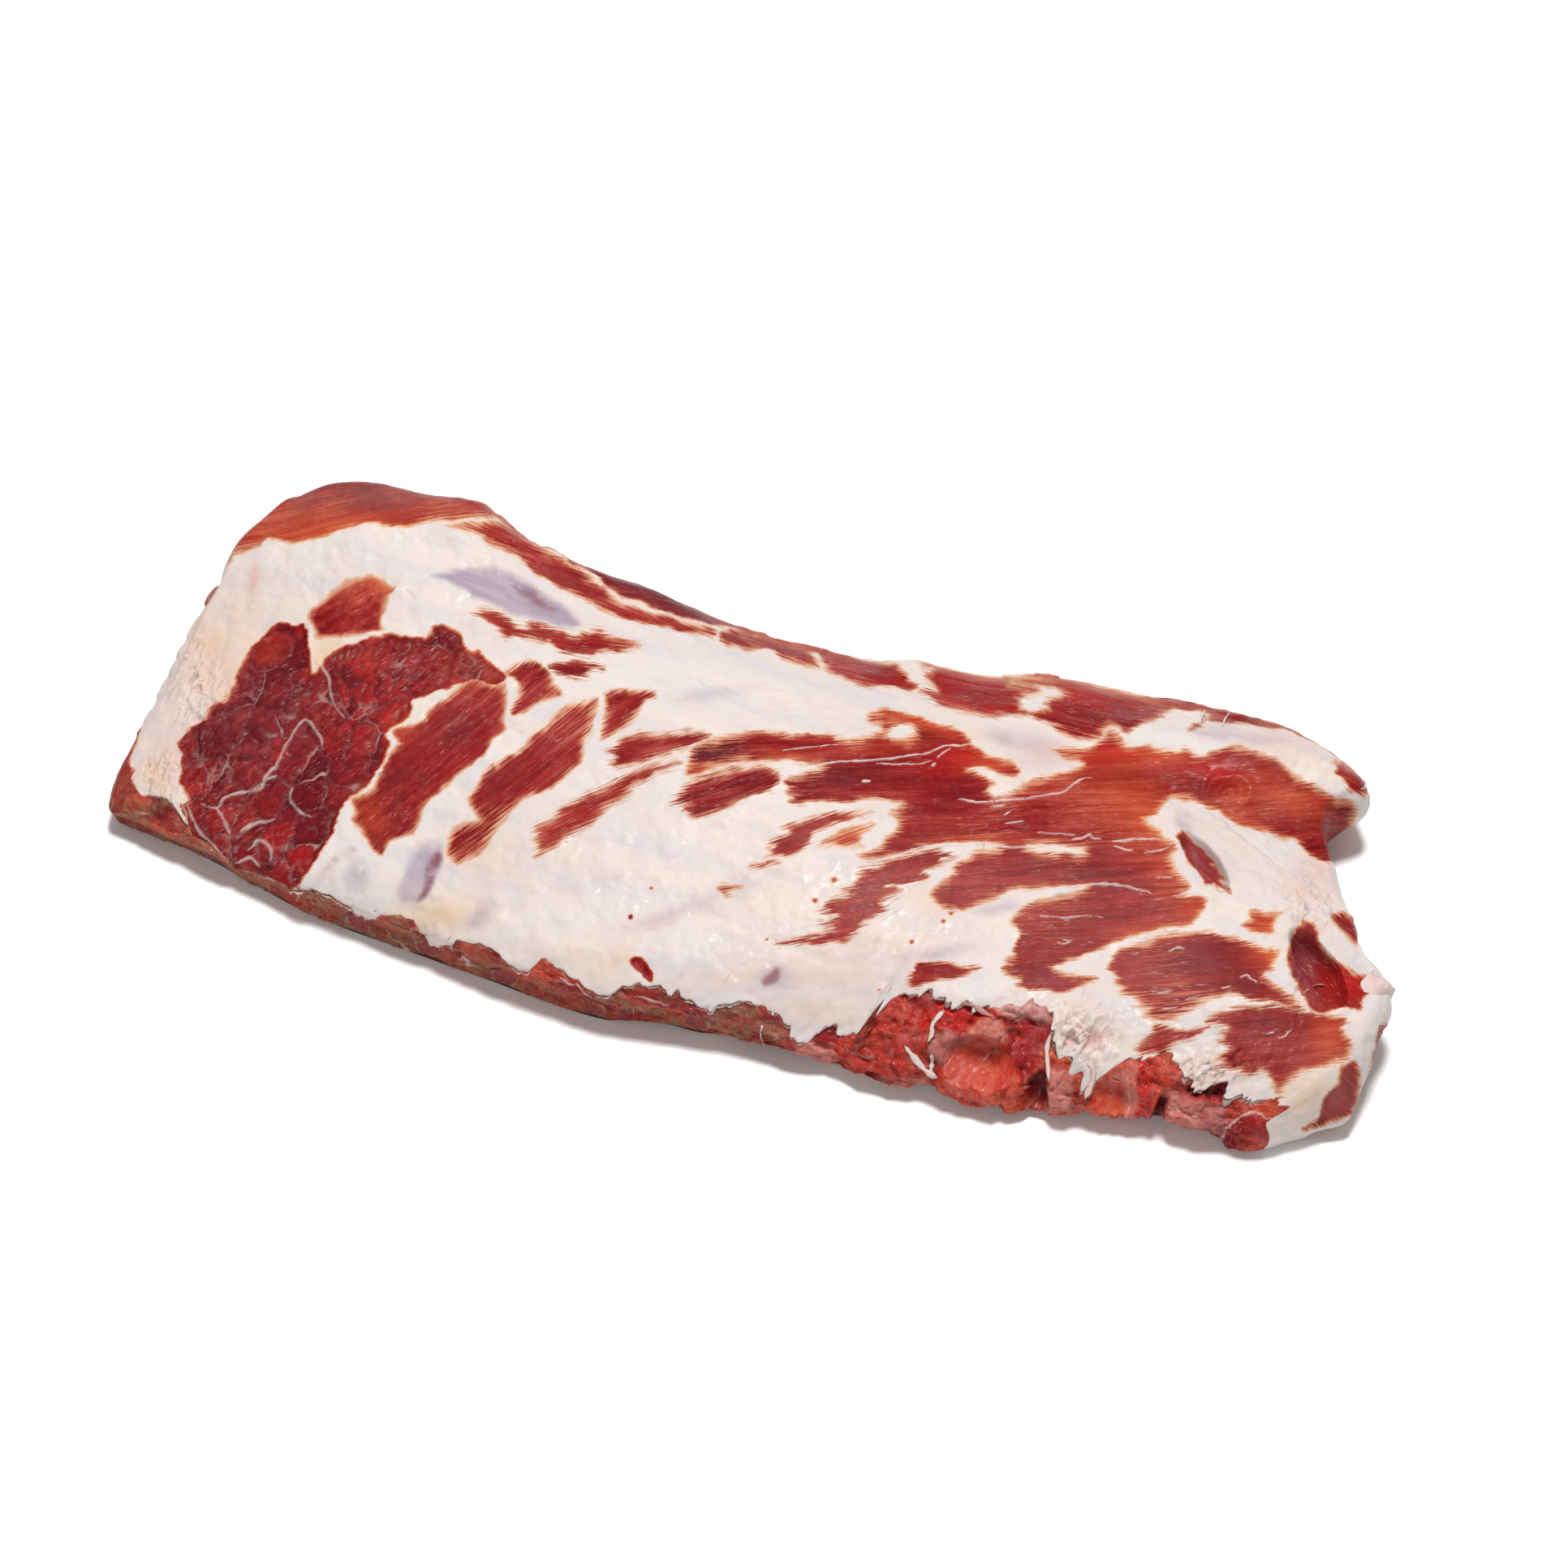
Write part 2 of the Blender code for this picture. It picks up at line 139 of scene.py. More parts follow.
# places where the skin stands further out or in than the solid: pixel and height in
# millimetres, half sizes, shift
NUDGES = [
    ((300, 668, 46), (15, 26, 26), (-4.5, 0, 0)), ((592, 628, 44), (12, 20, 20), (3, 0, 5)),
    ((800, 745, 38), (22, 16, 22), (0, 0, 3.5)), ((858, 756, 35), (26, 14, 20), (0, 0, 4.0)),
    ((1140, 818, 28), (14, 14, 20), (0, 0, 4.0)), ((1300, 836, 24), (26, 14, 20), (0, 0, 2.6)),
    ((1715, 1225, 18), (12, 20, 30), (-1.5, 0, 0)), ((1703, 1300, 12), (12, 16, 30), (-2.0, 0, 0)),
    ((1706, 1178, 24), (10, 12, 30), (-4.0, 0, 0)), ((1668, 1028, 22), (12, 12, 30), (-9, 0, 0)),
    ((1410, 1412, 0), (24, 15, 9), (0, 9.5, 0)), ((1138, 1370, 0), (14, 12, 8), (0, 8, 0)),
    ((1280, 1390, 0), (14, 12, 8), (0, 2.5, 0)), ((1668, 1362, 4), (10, 13, 16), (3, -8, 0)),
    ((400, 1140, 0), (40, 12, 9), (0, -2.5, 0)), ((1712, 1222, 20), (13, 15, 22), (-5.5, 0, 0)),
    ((1690, 1012, 5), (15, 22, 10), (-12, 0, 0)), ((262, 728, 33), (9, 9, 10), (5.0, 0, 0)),
    ((940, 1300, 0), (14, 12, 8), (0, -5.0, 0)), ((1080, 1345, 0), (16, 12, 8), (0, -4.0, 0)),
    ((1660, 1380, 0), (12, 12, 9), (2.5, -2.5, 0)), ((1460, 1412, 0), (14, 12, 8), (0, 2.5, 0)),
    ((338, 620, 56), (13, 14, 16), (2.5, 0, -4.0)), ((580, 622, 50), (14, 16, 16), (2.5, 0, 3.5)),
    ((1510, 872, 32), (30, 16, 20), (0, 0, -3.2)), ((195, 1040, 0), (30, 14, 9), (0, 3.2, 0)),
    ((290, 1090, 0), (36, 14, 9), (0, 3.2, 0)),
]

# pockets and hollows: centre, half sizes, and the pockets' turn (deg)
PRESSED_POCKETS = [((154.5, 4.5, 41), (17, 6.0, 9), -45),
                   ((204.6, -23.5, 38), (19, 7.2, 12.5), -44)]
TORN_HOLLOWS = [((112, -99, 22), (15, 12, 9)), ((157, -95, 17), (12, 11, 8)),
                ((131, -97, 10), (4.5, 10, 6))]


def curve_through(stations, values, at):
    """Cubic curve through the values at the stations, with the mean slope at each."""
    stations = np.asarray(stations, float)
    values = np.asarray(values, float)
    at = np.clip(at, stations[0], stations[-1])
    slope = np.diff(values) / np.diff(stations)
    tangent = np.concatenate([slope[..., :1], (slope[..., 1:] + slope[..., :-1]) / 2,
                              slope[..., -1:]], axis=-1)
    cell = np.clip(np.searchsorted(stations, at, side="right") - 1, 0, len(stations) - 2)
    width = stations[cell + 1] - stations[cell]
    t = (at - stations[cell]) / width
    if values.ndim == 2:
        pick = (np.arange(len(at)), cell)
        nxt = (np.arange(len(at)), cell + 1)
    else:
        pick, nxt = cell, cell + 1
    return ((2 * t**3 - 3 * t**2 + 1) * values[pick] + (t**3 - 2 * t**2 + t) * width * tangent[pick]
            + (3 * t**2 - 2 * t**3) * values[nxt] + (t**3 - t**2) * width * tangent[nxt])


def section_height(table, u, v):
    """Height read from a table of cross-sections, smooth both ways."""
    rows = np.stack([curve_through(ACROSS, row, v) for row in table], axis=-1)
    return curve_through(ALONG, rows, u)


def plan_position(u, v):
    """X and Y: near and far edge curves joined by straight lines, the ends eased onto theirs."""
    near, far = ([curve_through(np.linspace(0, 1, len(edge)), values, u) for values in zip(*edge)]
                 for edge in (NEAR_EDGE, FAR_EDGE))
    left = (curve_through(ACROSS_END, LEFT_END, v)
            - (NEAR_EDGE[0][0] * (1 - v) + FAR_EDGE[0][0] * v))
    right = (curve_through(ACROSS_END, RIGHT_END, v)
             - (NEAR_EDGE[-1][0] * (1 - v) + FAR_EDGE[-1][0] * v))
    x = near[0] * (1 - v) + far[0] * v + left * (1 - u) ** 3 + right * u**3
    return x, near[1] * (1 - v) + far[1] * v


def turned(x, y, degrees):
    """The place x, y on axes turned by this angle."""
    c, s = math.cos(math.radians(degrees)), math.sin(math.radians(degrees))
    return x * c + y * s, y * c - x * s


def bell(x, y, half_x, half_y, degrees):
    """Turned Gaussian bell, 1 where x and y are 0."""
    a, b = turned(x, y, degrees)
    return np.exp(-((a / half_x) ** 2 + (b / half_y) ** 2))


def mound_height(x, y):
    """Sum of turned Gaussian mounds and hollows."""
    height = np.zeros_like(x)
    for cx, cy, half_length, half_width, turn, rise in MOUNDS:
        height += rise * bell(x - cx, y - cy, half_length, half_width, turn)
    return height


def rib_u(near_x):
    """Place u of the rib whose sawn end is at near_x."""
    u = np.linspace(0, 1, 400)
    return float(np.interp(near_x, plan_position(u, np.zeros_like(u))[0], u))


def rib_ridge(u, v):
    """Ridges under the ribs: a Gaussian in X round each rib's line, faded out at its blind end."""
    depth = np.zeros_like(u)
    x, _ = plan_position(u, v)
    for near_x in RIB_X + TORN_RIB_X:
        rib_x, _ = plan_position(np.full_like(u, rib_u(near_x)), v)
        depth += RIDGE_DROP * np.exp(-((x - rib_x) / RIDGE_HALF_WIDTH) ** 2)
    return depth * np.clip((RIB_REACH + 0.06 - v) / 0.12, 0, 1)


def underside_height(u, v):
    """Arched underside, flat where it lies on the floor."""
    return np.maximum(section_height(BOTTOM, u, v) + RIDGE_DROP / 2 - rib_ridge(u, v), 0)


def lip_reach(x):
    """How far the fat lip hangs at x: one, and a Gaussian more at each drip."""
    reach = np.full_like(x, 1.0)
    for at, half_width, extra in LIP_DRIPS:
        reach += extra / 2 * np.exp(-((x - at) / half_width) ** 2)
    return reach


def slab_point(u, v, w):
    """Slab point at u along, v across, w up, millimetres: a blend of underside and top by w,
    with swelling end and far walls and a lip that hangs out over the sawn edge."""
    x, y = plan_position(u, v)
    low = underside_height(u, v)
    high = section_height(TOP, u, v) + mound_height(x, y)
    z = low + (high - low) * w
    bulge = WALL_BULGE * np.sin(math.pi * w)
    x = x + bulge * (np.clip((u - 0.96) / 0.04, 0, 1) - np.clip((0.04 - u) / 0.04, 0, 1))
    y = y + bulge * np.clip((v - 0.93) / 0.07, 0, 1)
    rim = np.clip((0.05 - v) / 0.05, 0, 1) * np.clip((0.66 - u) / 0.03, 0, 1)
    reach = lip_reach(x)
    y = y - LIP_OVERHANG * reach * rim * (w**2 - 0.35 * np.sin(math.pi * w))
    z = z - DRIP_DEPTH * (reach - 1) * rim * w**2
    return np.stack([x - CENTRE_X, y - CENTRE_Y, z], axis=-1)


def box_point(s, t, h):
    """Slab point of the box point (s, t, h): the box's edges are rounded by moving the point
    onto a sphere round the nearest point of the box shrunk by the rounding."""
    shape = np.shape(s)
    p = np.stack([np.ravel(s), np.ravel(t), np.ravel(h)], axis=-1).astype(float)
    size = np.array([LONG, WIDE, THICK])
    core = np.clip(p, ROUND, size - ROUND)
    out = (p - core) / ROUND
    p = core + ROUND * out / np.maximum(np.linalg.norm(out, axis=1, keepdims=True), 1e-6)
    u, v, w = np.clip(p / size, 0, 1).T
    return nudged(slab_point(u, v, w)).reshape(*shape, 3)


def sight_ray(x, y):
    """Direction in which the camera sees the pixel."""
    return -BACK * FOCAL + RIGHT * (x - PICTURE / 2) - UP * (y - PICTURE / 2)


def picture_point(x, y, height):
    """Point at this height, in millimetres, on the line of sight of the pixel."""
    ray = sight_ray(x, y)
    return (EYE + ray * (height * MM - EYE[2]) / ray[2]) / MM


def nudged(points):
    """Adds the nudges: each a shift that fades as a Gaussian in all three directions."""
    moved = points.copy()
    for place, half_sizes, shift in NUDGES:
        gap = (points - picture_point(*place)) / np.array(half_sizes)
        moved += np.exp(-(gap ** 2).sum(axis=1))[:, None] * np.array(shift, float)
    moved[:, 2] = np.maximum(moved[:, 2], 0)
    return moved


def skin_point(s, t):
    """The skin that wraps the sawn face (t below 0), the top and the far wall (t above WIDE)."""
    height = np.where(t < 0, THICK + t, np.where(t > WIDE, THICK - (t - WIDE), THICK))
    return box_point(s, np.clip(t, 0, WIDE), np.clip(height, 0, THICK))


def picture_place(points):
    """Pixel of each point, millimetres in, seen through the camera."""
    ray = points * MM - EYE
    depth = -(ray @ BACK)
    return np.stack([PICTURE / 2 + FOCAL * (ray @ RIGHT) / depth,
                     PICTURE / 2 - FOCAL * (ray @ UP) / depth], axis=-1)


def skin_place(pixels):
    """Place (s, t) on the skin under each pixel: the nearest vertex of a coarse net of the parts
    that face the camera, then Newton steps with slopes taken by small moves."""
    s, t = np.meshgrid(np.linspace(1, LONG - 1, 221), np.linspace(-THICK + 1, WIDE + 8, 116),
                       indexing="ij")
    net = skin_point(s, t)
    facing = normals_of(net) @ BACK > 0.05
    spots = picture_place(net)[facing]
    st = np.stack([s[facing], t[facing]], axis=-1)
    pixels = np.asarray(pixels, float)
    nearest = [np.argmin(((spots - p) ** 2).sum(axis=1)) for p in pixels]
    found = st[nearest]
    for _ in range(4):
        here = picture_place(skin_point(found[:, 0], found[:, 1]))
        ds = picture_place(skin_point(found[:, 0] + 0.5, found[:, 1])) - here
        dt = picture_place(skin_point(found[:, 0], found[:, 1] + 0.5)) - here
        miss = pixels - here
        det = ds[:, 0] * dt[:, 1] - ds[:, 1] * dt[:, 0]
        det = np.where(np.abs(det) < 1e-3, 1e-3, det)
        step = np.stack([(miss[:, 0] * dt[:, 1] - miss[:, 1] * dt[:, 0]) / det,
                         (ds[:, 0] * miss[:, 1] - ds[:, 1] * miss[:, 0]) / det], axis=-1) * 0.5
        found = found + np.clip(step, -4, 4)
        found[:, 0] = np.clip(found[:, 0], 0.5, LONG - 0.5)
        found[:, 1] = np.clip(found[:, 1], -THICK + 0.5, WIDE + 8)
    return found


def unit(vectors):
    """The vectors with their length brought to 1."""
    return vectors / np.maximum(np.linalg.norm(vectors, axis=-1, keepdims=True), 1e-9)


def normals_of(grid):
    """Unit normals of a grid of points, from the cross product of its two mean differences."""
    return unit(np.cross(np.gradient(grid, axis=0), np.gradient(grid, axis=1)))


# ---- Noise and masks -------------------------------------------------------------------
def lattice_noise(x, y, z, seed=0):
    """Noise from -1 to 1: random values on a cubic lattice, joined by quintic blends."""
    base = [np.floor(a).astype(np.int64) for a in (x, y, z)]
    f = [a - b for a, b in zip((x, y, z), base)]
    f = [a * a * a * (a * (a * 6 - 15) + 10) for a in f]
    total = np.zeros(np.shape(x))
    for corner in range(8):
        step = [(corner >> k) & 1 for k in range(3)]
        n = (base[0] + step[0]) * 374761393 + (base[1] + step[1]) * 668265263
        n = (n + (base[2] + step[2]) * 1440662683 + seed * 1274126177) & 0xFFFFFFFF
        n = ((n ^ (n >> 13)) * 1274126177) & 0xFFFFFFFF
        n = ((n ^ (n >> 16)) * 2246822519) & 0xFFFFFFFF
        value = (n ^ (n >> 15)) / 2147483647.5 - 1
        weight = 1.0
        for k in range(3):
            weight = weight * (f[k] if step[k] else 1 - f[k])
        total += value * weight
    return total


def rough_noise(points, size, seed=0, octaves=3):
    """Sum of octaves of lattice noise; the largest feature has the given size."""
    total, weight = 0, 1.0
    for octave in range(octaves):
        p = points / size * 2**octave
        total = total + weight * lattice_noise(p[..., 0], p[..., 1], p[..., 2], seed + octave)
        weight *= 0.5
    return total


def wave(x, seed):
    """Lattice noise along one line."""
    return lattice_noise(x, 0 * x, 0 * x, seed)


def folds(points, size, seed):
    """Ridges where rough noise passes through zero: one half less its absolute value."""
    return 0.5 - np.abs(rough_noise(points, size, seed))


def cell_pattern(x, y, seed=0):
    """Cells round points jittered off a unit grid: how much further the second nearest point is
    than the nearest, zero on the borders, and a random number from 0 to 1 for each cell."""
    base_x, base_y = np.floor(x), np.floor(y)
    first, second, number = np.full(x.shape, 9.0), np.full(x.shape, 9.0), np.zeros(x.shape)
    for i in (-1, 0, 1):
        for j in (-1, 0, 1):
            cx, cy = base_x + i, base_y + j
            jitter = [np.modf(np.abs(np.sin(cx * a + cy * b + seed) * 43758.5453))[0]
                      for a, b in ((127.1, 311.7), (269.5, 183.3), (419.2, 371.9))]
            gap = np.hypot(cx + jitter[0] - x, cy + jitter[1] - y)
            nearer = gap < first
            second = np.where(nearer, first, np.minimum(second, gap))
            number = np.where(nearer, jitter[2], number)
            first = np.minimum(first, gap)
    return second - first, number


def smooth(low, high, value):
    """Smooth step from 0 at low to 1 at high."""
    t = np.clip((value - low) / (high - low), 0, 1)
    return t * t * (3 - 2 * t)


def off_ends(x, length, margin):
    """0 at both ends of a length, rising smoothly to 1 over the margin."""
    return smooth(0, margin, x) * smooth(length, length - margin, x)


def pairs(*numbers):
    """Points from a run of numbers, x and y by turns."""
    return list(zip(numbers[::2], numbers[1::2]))


def smooth_line(points, closed, pieces=4):
    """Catmull-Rom curve through the points."""
    p = np.asarray(points, float)
    if closed:
        before, here, after, later = np.roll(p, 1, 0), p, np.roll(p, -1, 0), np.roll(p, -2, 0)
    else:
        q = np.vstack([2 * p[0] - p[1], p, 2 * p[-1] - p[-2]])
        before, here, after, later = q[:-3], q[1:-2], q[2:-1], q[3:]
    t = (np.arange(pieces) / pieces)[None, :, None]
    b, h, a, l = (k[:, None, :] for k in (before, here, after, later))
    curve = 0.5 * (2 * h + (a - b) * t + (2 * b - 5 * h + 4 * a - l) * t**2
                   + (3 * h - 3 * a + l - b) * t**3)
    curve = curve.reshape(-1, 2)
    return curve if closed else np.vstack([curve, p[-1]])


def line_distance(at, line, closed):
    """Distance from each place to a line of short segments; inside a closed one it is positive,
    outside negative. Also the share of the line's length at the nearest point."""
    ends = np.roll(line, -1, 0) if closed else line[1:]
    starts = line if closed else line[:-1]
    lengths = np.linalg.norm(ends - starts, axis=1)
    run = np.concatenate([[0], np.cumsum(lengths)])
    best = np.full(len(at), 1e9)
    share = np.zeros(len(at))
    inside = np.zeros(len(at), bool)
    x, y = at[:, 0], at[:, 1]
    for k, (a, b) in enumerate(zip(starts, ends)):
        d = b - a
        t = np.clip(((x - a[0]) * d[0] + (y - a[1]) * d[1]) / max(d @ d, 1e-9), 0, 1)
        gap = (x - a[0] - t * d[0]) ** 2 + (y - a[1] - t * d[1]) ** 2
        nearer = gap < best
        best = np.where(nearer, gap, best)
        share = np.where(nearer, (run[k] + t * lengths[k]) / run[-1], share)
        if closed and a[1] != b[1]:
            crosses = (y < a[1]) != (y < b[1])
            inside ^= crosses & (x < a[0] + (y - a[1]) / (b[1] - a[1]) * d[0])
    best = np.sqrt(best)
    return (np.where(inside, best, -best) if closed else best), share


def beside(at, points, closed, margin):
    """Which places lie within a margin of the box round the smooth line through the points,
    their distance from that line, and the share of its length there."""
    line = smooth_line(points, closed)
    low, high = line.min(0) - margin, line.max(0) + margin
    near = np.nonzero(((at > low) & (at < high)).all(axis=1))[0]
    return near, *line_distance(at[near], line, closed)


# ---- What the photograph shows, in its pixels ------------------------------------------
LEAN_SPAN = 28.0  # pixels across an edge of the lean over which its mask runs from 0 to 1
EDGE_OF_LEAN = 0.464  # value of the mask at the edge as it is seen
# tinted patches that go to other masks than their own name, with their share
TINT_MASKS = {"purple_streak": {"fray": 1.0}, "film_tint": {"blush": 0.5, "slate": 0.5}}

# lean: softness of the rim, feathering, direction of the fibres in degrees, outline
ROLL = pairs(281, 695, 290, 685, 309, 675, 320, 672, 333, 663, 356, 670, 370, 669, 408, 657,
    422, 652, 450, 647, 474, 646, 503, 649, 522, 643, 545, 643, 588, 639, 606, 640, 640, 600,
    560, 540, 400, 520, 300, 560, 230, 640, 262, 700)
EYE_OF_LEAN = pairs(446, 708, 458, 708, 482, 720, 484, 726, 480, 733, 478, 750, 471, 764, 473, 773,
    476, 776, 468, 779, 455, 778, 436, 783, 394, 784, 388, 779, 382, 765, 384, 754, 405, 729,
    434, 711)
DARK_LEAN = pairs(340, 771, 352, 767, 364, 771, 373, 771, 381, 797, 383, 826, 392, 828, 400, 822,
    403, 812, 420, 800, 463, 785, 483, 781, 505, 788, 518, 788, 526, 791, 530, 776, 536, 771,
    545, 770, 566, 778, 571, 785, 576, 799, 582, 804, 590, 803, 622, 828, 618, 840, 600, 842,
    582, 838, 545, 848, 512, 862, 508, 872, 498, 886, 474, 905, 476, 918, 455, 962, 425, 992,
    418, 1003, 412, 1020, 388, 1062, 368, 1090, 350, 1095, 300, 1085, 270, 1072, 240, 1052,
    228, 1030, 227, 995, 232, 984, 228, 972, 222, 965, 221, 955, 228, 932, 222, 920, 224, 913,
    245, 892, 258, 886, 262, 876, 270, 868, 280, 863, 300, 818, 312, 797, 331, 780)
LEAN_B = pairs(582, 838, 570, 841, 530, 873, 518, 886, 490, 900, 488, 908, 492, 914, 475, 938,
    462, 968, 440, 982, 433, 988, 437, 1000, 434, 1008, 437, 1016, 450, 1033, 462, 1047, 470, 1055,
    478, 1042, 485, 1036, 507, 1031, 521, 1010, 527, 992, 565, 953, 595, 930, 605, 914, 619, 897,
    621, 885, 622, 850, 618, 842)
LEAN_D = pairs(621, 828, 650, 816, 662, 817, 672, 823, 693, 854, 684, 859, 668, 863, 650, 876,
    634, 881, 628, 876, 634, 858, 636, 848, 634, 840)
STREAK_E = pairs(580, 754, 588, 751, 600, 751, 625, 761, 640, 771, 663, 769, 705, 782, 728, 778,
    742, 779, 768, 790, 785, 796, 784, 800, 742, 805, 732, 809, 710, 806, 686, 799, 675, 788,
    668, 791, 640, 785, 628, 786, 622, 783, 610, 770, 600, 766, 592, 759)
STREAK_G = pairs(680, 818, 700, 814, 728, 818, 742, 823, 730, 825, 720, 833, 712, 834, 684, 826)
FAR_STRIP = pairs(570, 643, 600, 642, 615, 644, 652, 661, 667, 670, 678, 681, 722, 710, 745, 725,
    762, 740, 780, 748, 810, 757, 860, 773, 880, 777, 878, 783, 840, 777, 805, 773, 755, 758,
    712, 735, 690, 724, 673, 711, 660, 705, 645, 693, 600, 670, 592, 662, 575, 652, 550, 648)
FAR_FLAP = pairs(698, 692, 705, 680, 740, 690, 790, 700, 850, 715, 900, 740, 935, 765, 929, 775,
    880, 769, 840, 761, 810, 752, 780, 741, 750, 726, 733, 711, 712, 700)
STRIP_2 = pairs(888, 782, 898, 776, 930, 778, 985, 794, 1004, 813, 1010, 820, 1000, 820, 972, 812,
    945, 801, 900, 797, 893, 791)
FLAP_2 = pairs(995, 792, 1010, 788, 1030, 792, 1036, 803, 1022, 804, 1008, 799)
STRIP_3 = pairs(1008, 805, 1025, 800, 1050, 800, 1092, 812, 1124, 835, 1130, 842, 1122, 846,
    1080, 847, 1050, 842, 1024, 832, 1014, 822)
STRIP_4 = pairs(1132, 808, 1160, 808, 1190, 815, 1235, 822, 1245, 839, 1276, 844, 1284, 851,
    1275, 857, 1256, 863, 1262, 868, 1255, 873, 1266, 878, 1258, 883, 1220, 884, 1205, 882,
    1170, 873, 1131, 851, 1140, 848, 1152, 850, 1142, 835, 1140, 828, 1150, 822, 1138, 816)
STRIP_5 = pairs(1243, 840, 1285, 832, 1283, 820, 1330, 825, 1380, 838, 1430, 856, 1446, 868,
    1438, 877, 1400, 893, 1395, 897, 1385, 900, 1366, 895, 1349, 910, 1308, 902, 1270, 883,
    1260, 880, 1290, 872, 1284, 867, 1310, 860, 1300, 852, 1270, 844)
STRIP_H = pairs(700, 867, 722, 861, 735, 861, 738, 868, 727, 900, 722, 910, 718, 935, 710, 945,
    668, 975, 645, 988, 618, 1018, 592, 1052, 585, 1058, 565, 1064, 557, 1061, 550, 1045, 563, 1016,
    588, 1010, 574, 990, 585, 968, 606, 940, 615, 938, 655, 908, 690, 875)
LEAN_I = pairs(745, 858, 755, 854, 780, 851, 805, 855, 808, 858, 795, 866, 780, 887, 742, 910,
    738, 905, 746, 866)
LEAN_L = pairs(758, 920, 765, 910, 778, 905, 835, 901, 850, 900, 873, 906, 866, 912, 820, 928,
    785, 942, 762, 945, 748, 940, 758, 935, 745, 924)
LEAN_M = pairs(835, 938, 792, 943, 740, 967, 695, 996, 660, 1018, 664, 1030, 658, 1038, 662, 1044,
    657, 1058, 678, 1048, 708, 1025, 728, 1020, 738, 1007, 765, 988, 778, 976, 780, 970, 825, 945)
LEAN_O = pairs(840, 975, 845, 967, 865, 953, 905, 944, 935, 942, 948, 945, 962, 957, 948, 975,
    922, 983, 902, 997, 862, 1008, 845, 995, 848, 990, 825, 989, 835, 983, 836, 978)
LEAN_Q = pairs(980, 1015, 1005, 1008, 1035, 1003, 1065, 1002, 1073, 1004, 1028, 1018, 1005, 1025,
    995, 1040, 978, 1052, 955, 1056, 943, 1055, 952, 1050, 945, 1046, 955, 1043, 950, 1038,
    978, 1026, 960, 1021, 972, 1018)
LEAN_R = pairs(1010, 1040, 1052, 1018, 1065, 1012, 1075, 1011, 1082, 1016, 1075, 1024, 1065, 1030,
    1062, 1038, 1065, 1044, 1055, 1046, 1015, 1043)
FIELD = pairs(848, 940, 853, 923, 870, 913, 912, 901, 930, 898, 958, 903, 1015, 903, 1035, 909,
    1060, 909, 1080, 902, 1081, 897, 1070, 893, 1067, 888, 1068, 881, 1090, 875, 1135, 886,
    1160, 893, 1183, 903, 1191, 909, 1193, 914, 1190, 918, 1200, 919, 1222, 931, 1247, 936,
    1255, 940, 1258, 947, 1248, 957, 1218, 947, 1195, 946, 1228, 963, 1220, 967, 1217, 973,
    1224, 979, 1236, 979, 1258, 966, 1300, 955, 1315, 953, 1335, 942, 1328, 936, 1290, 921,
    1318, 923, 1335, 920, 1347, 915, 1361, 900, 1370, 897, 1378, 902, 1392, 917, 1415, 917,
    1440, 926, 1452, 928, 1458, 921, 1466, 922, 1472, 928, 1485, 928, 1495, 923, 1535, 920,
    1575, 939, 1615, 963, 1640, 979, 1665, 985, 1672, 1000, 1668, 1012, 1666, 1040, 1668, 1056,
    1651, 1066, 1615, 1052, 1595, 1036, 1545, 1022, 1515, 1008, 1495, 995, 1452, 984, 1442, 984,
    1426, 1001, 1414, 1007, 1420, 1015, 1430, 1020, 1436, 1030, 1446, 1038, 1448, 1048, 1444, 1057,
    1460, 1086, 1464, 1095, 1458, 1100, 1480, 1107, 1486, 1113, 1465, 1138, 1420, 1147, 1370, 1161,
    1322, 1180, 1304, 1187, 1298, 1192, 1325, 1202, 1345, 1204, 1350, 1208, 1305, 1222, 1262, 1215,
    1252, 1210, 1258, 1205, 1234, 1193, 1242, 1186, 1236, 1181, 1250, 1176, 1246, 1170, 1257, 1150,
    1243, 1134, 1276, 1107, 1322, 1096, 1340, 1092, 1325, 1090, 1280, 1094, 1250, 1098, 1200, 1119,
    1175, 1121, 1155, 1112, 1146, 1104, 1150, 1096, 1175, 1074, 1172, 1069, 1194, 1050, 1206, 1046,
    1225, 1044, 1225, 1041, 1185, 1038, 1150, 1040, 1122, 1048, 1082, 1061, 1068, 1062, 1058, 1058,
    1056, 1053, 1080, 1044, 1091, 1030, 1098, 1025, 1105, 1015, 1100, 1007, 1092, 1004, 1107, 993,
    1109, 989, 1080, 986, 1045, 989, 1000, 990, 985, 993, 976, 990, 972, 986, 979, 981, 968, 977,
    973, 971, 966, 964, 974, 958, 1012, 944, 955, 937, 915, 940, 890, 943, 850, 956, 845, 948)
LEAN_S = pairs(1075, 1067, 1105, 1060, 1128, 1049, 1155, 1045, 1178, 1054, 1158, 1059, 1174, 1062,
    1136, 1073, 1142, 1078, 1140, 1083, 1094, 1091, 1112, 1095, 1081, 1112, 1090, 1118, 1087, 1124,
    1065, 1137, 1040, 1160, 1030, 1163, 990, 1165, 957, 1162, 992, 1156, 1030, 1141, 1008, 1136,
    1035, 1129, 1010, 1126, 1022, 1122, 1008, 1120, 1035, 1108, 1045, 1101, 1040, 1097, 1052, 1093,
    1048, 1089, 1060, 1083, 1054, 1080, 1066, 1076, 1062, 1072)
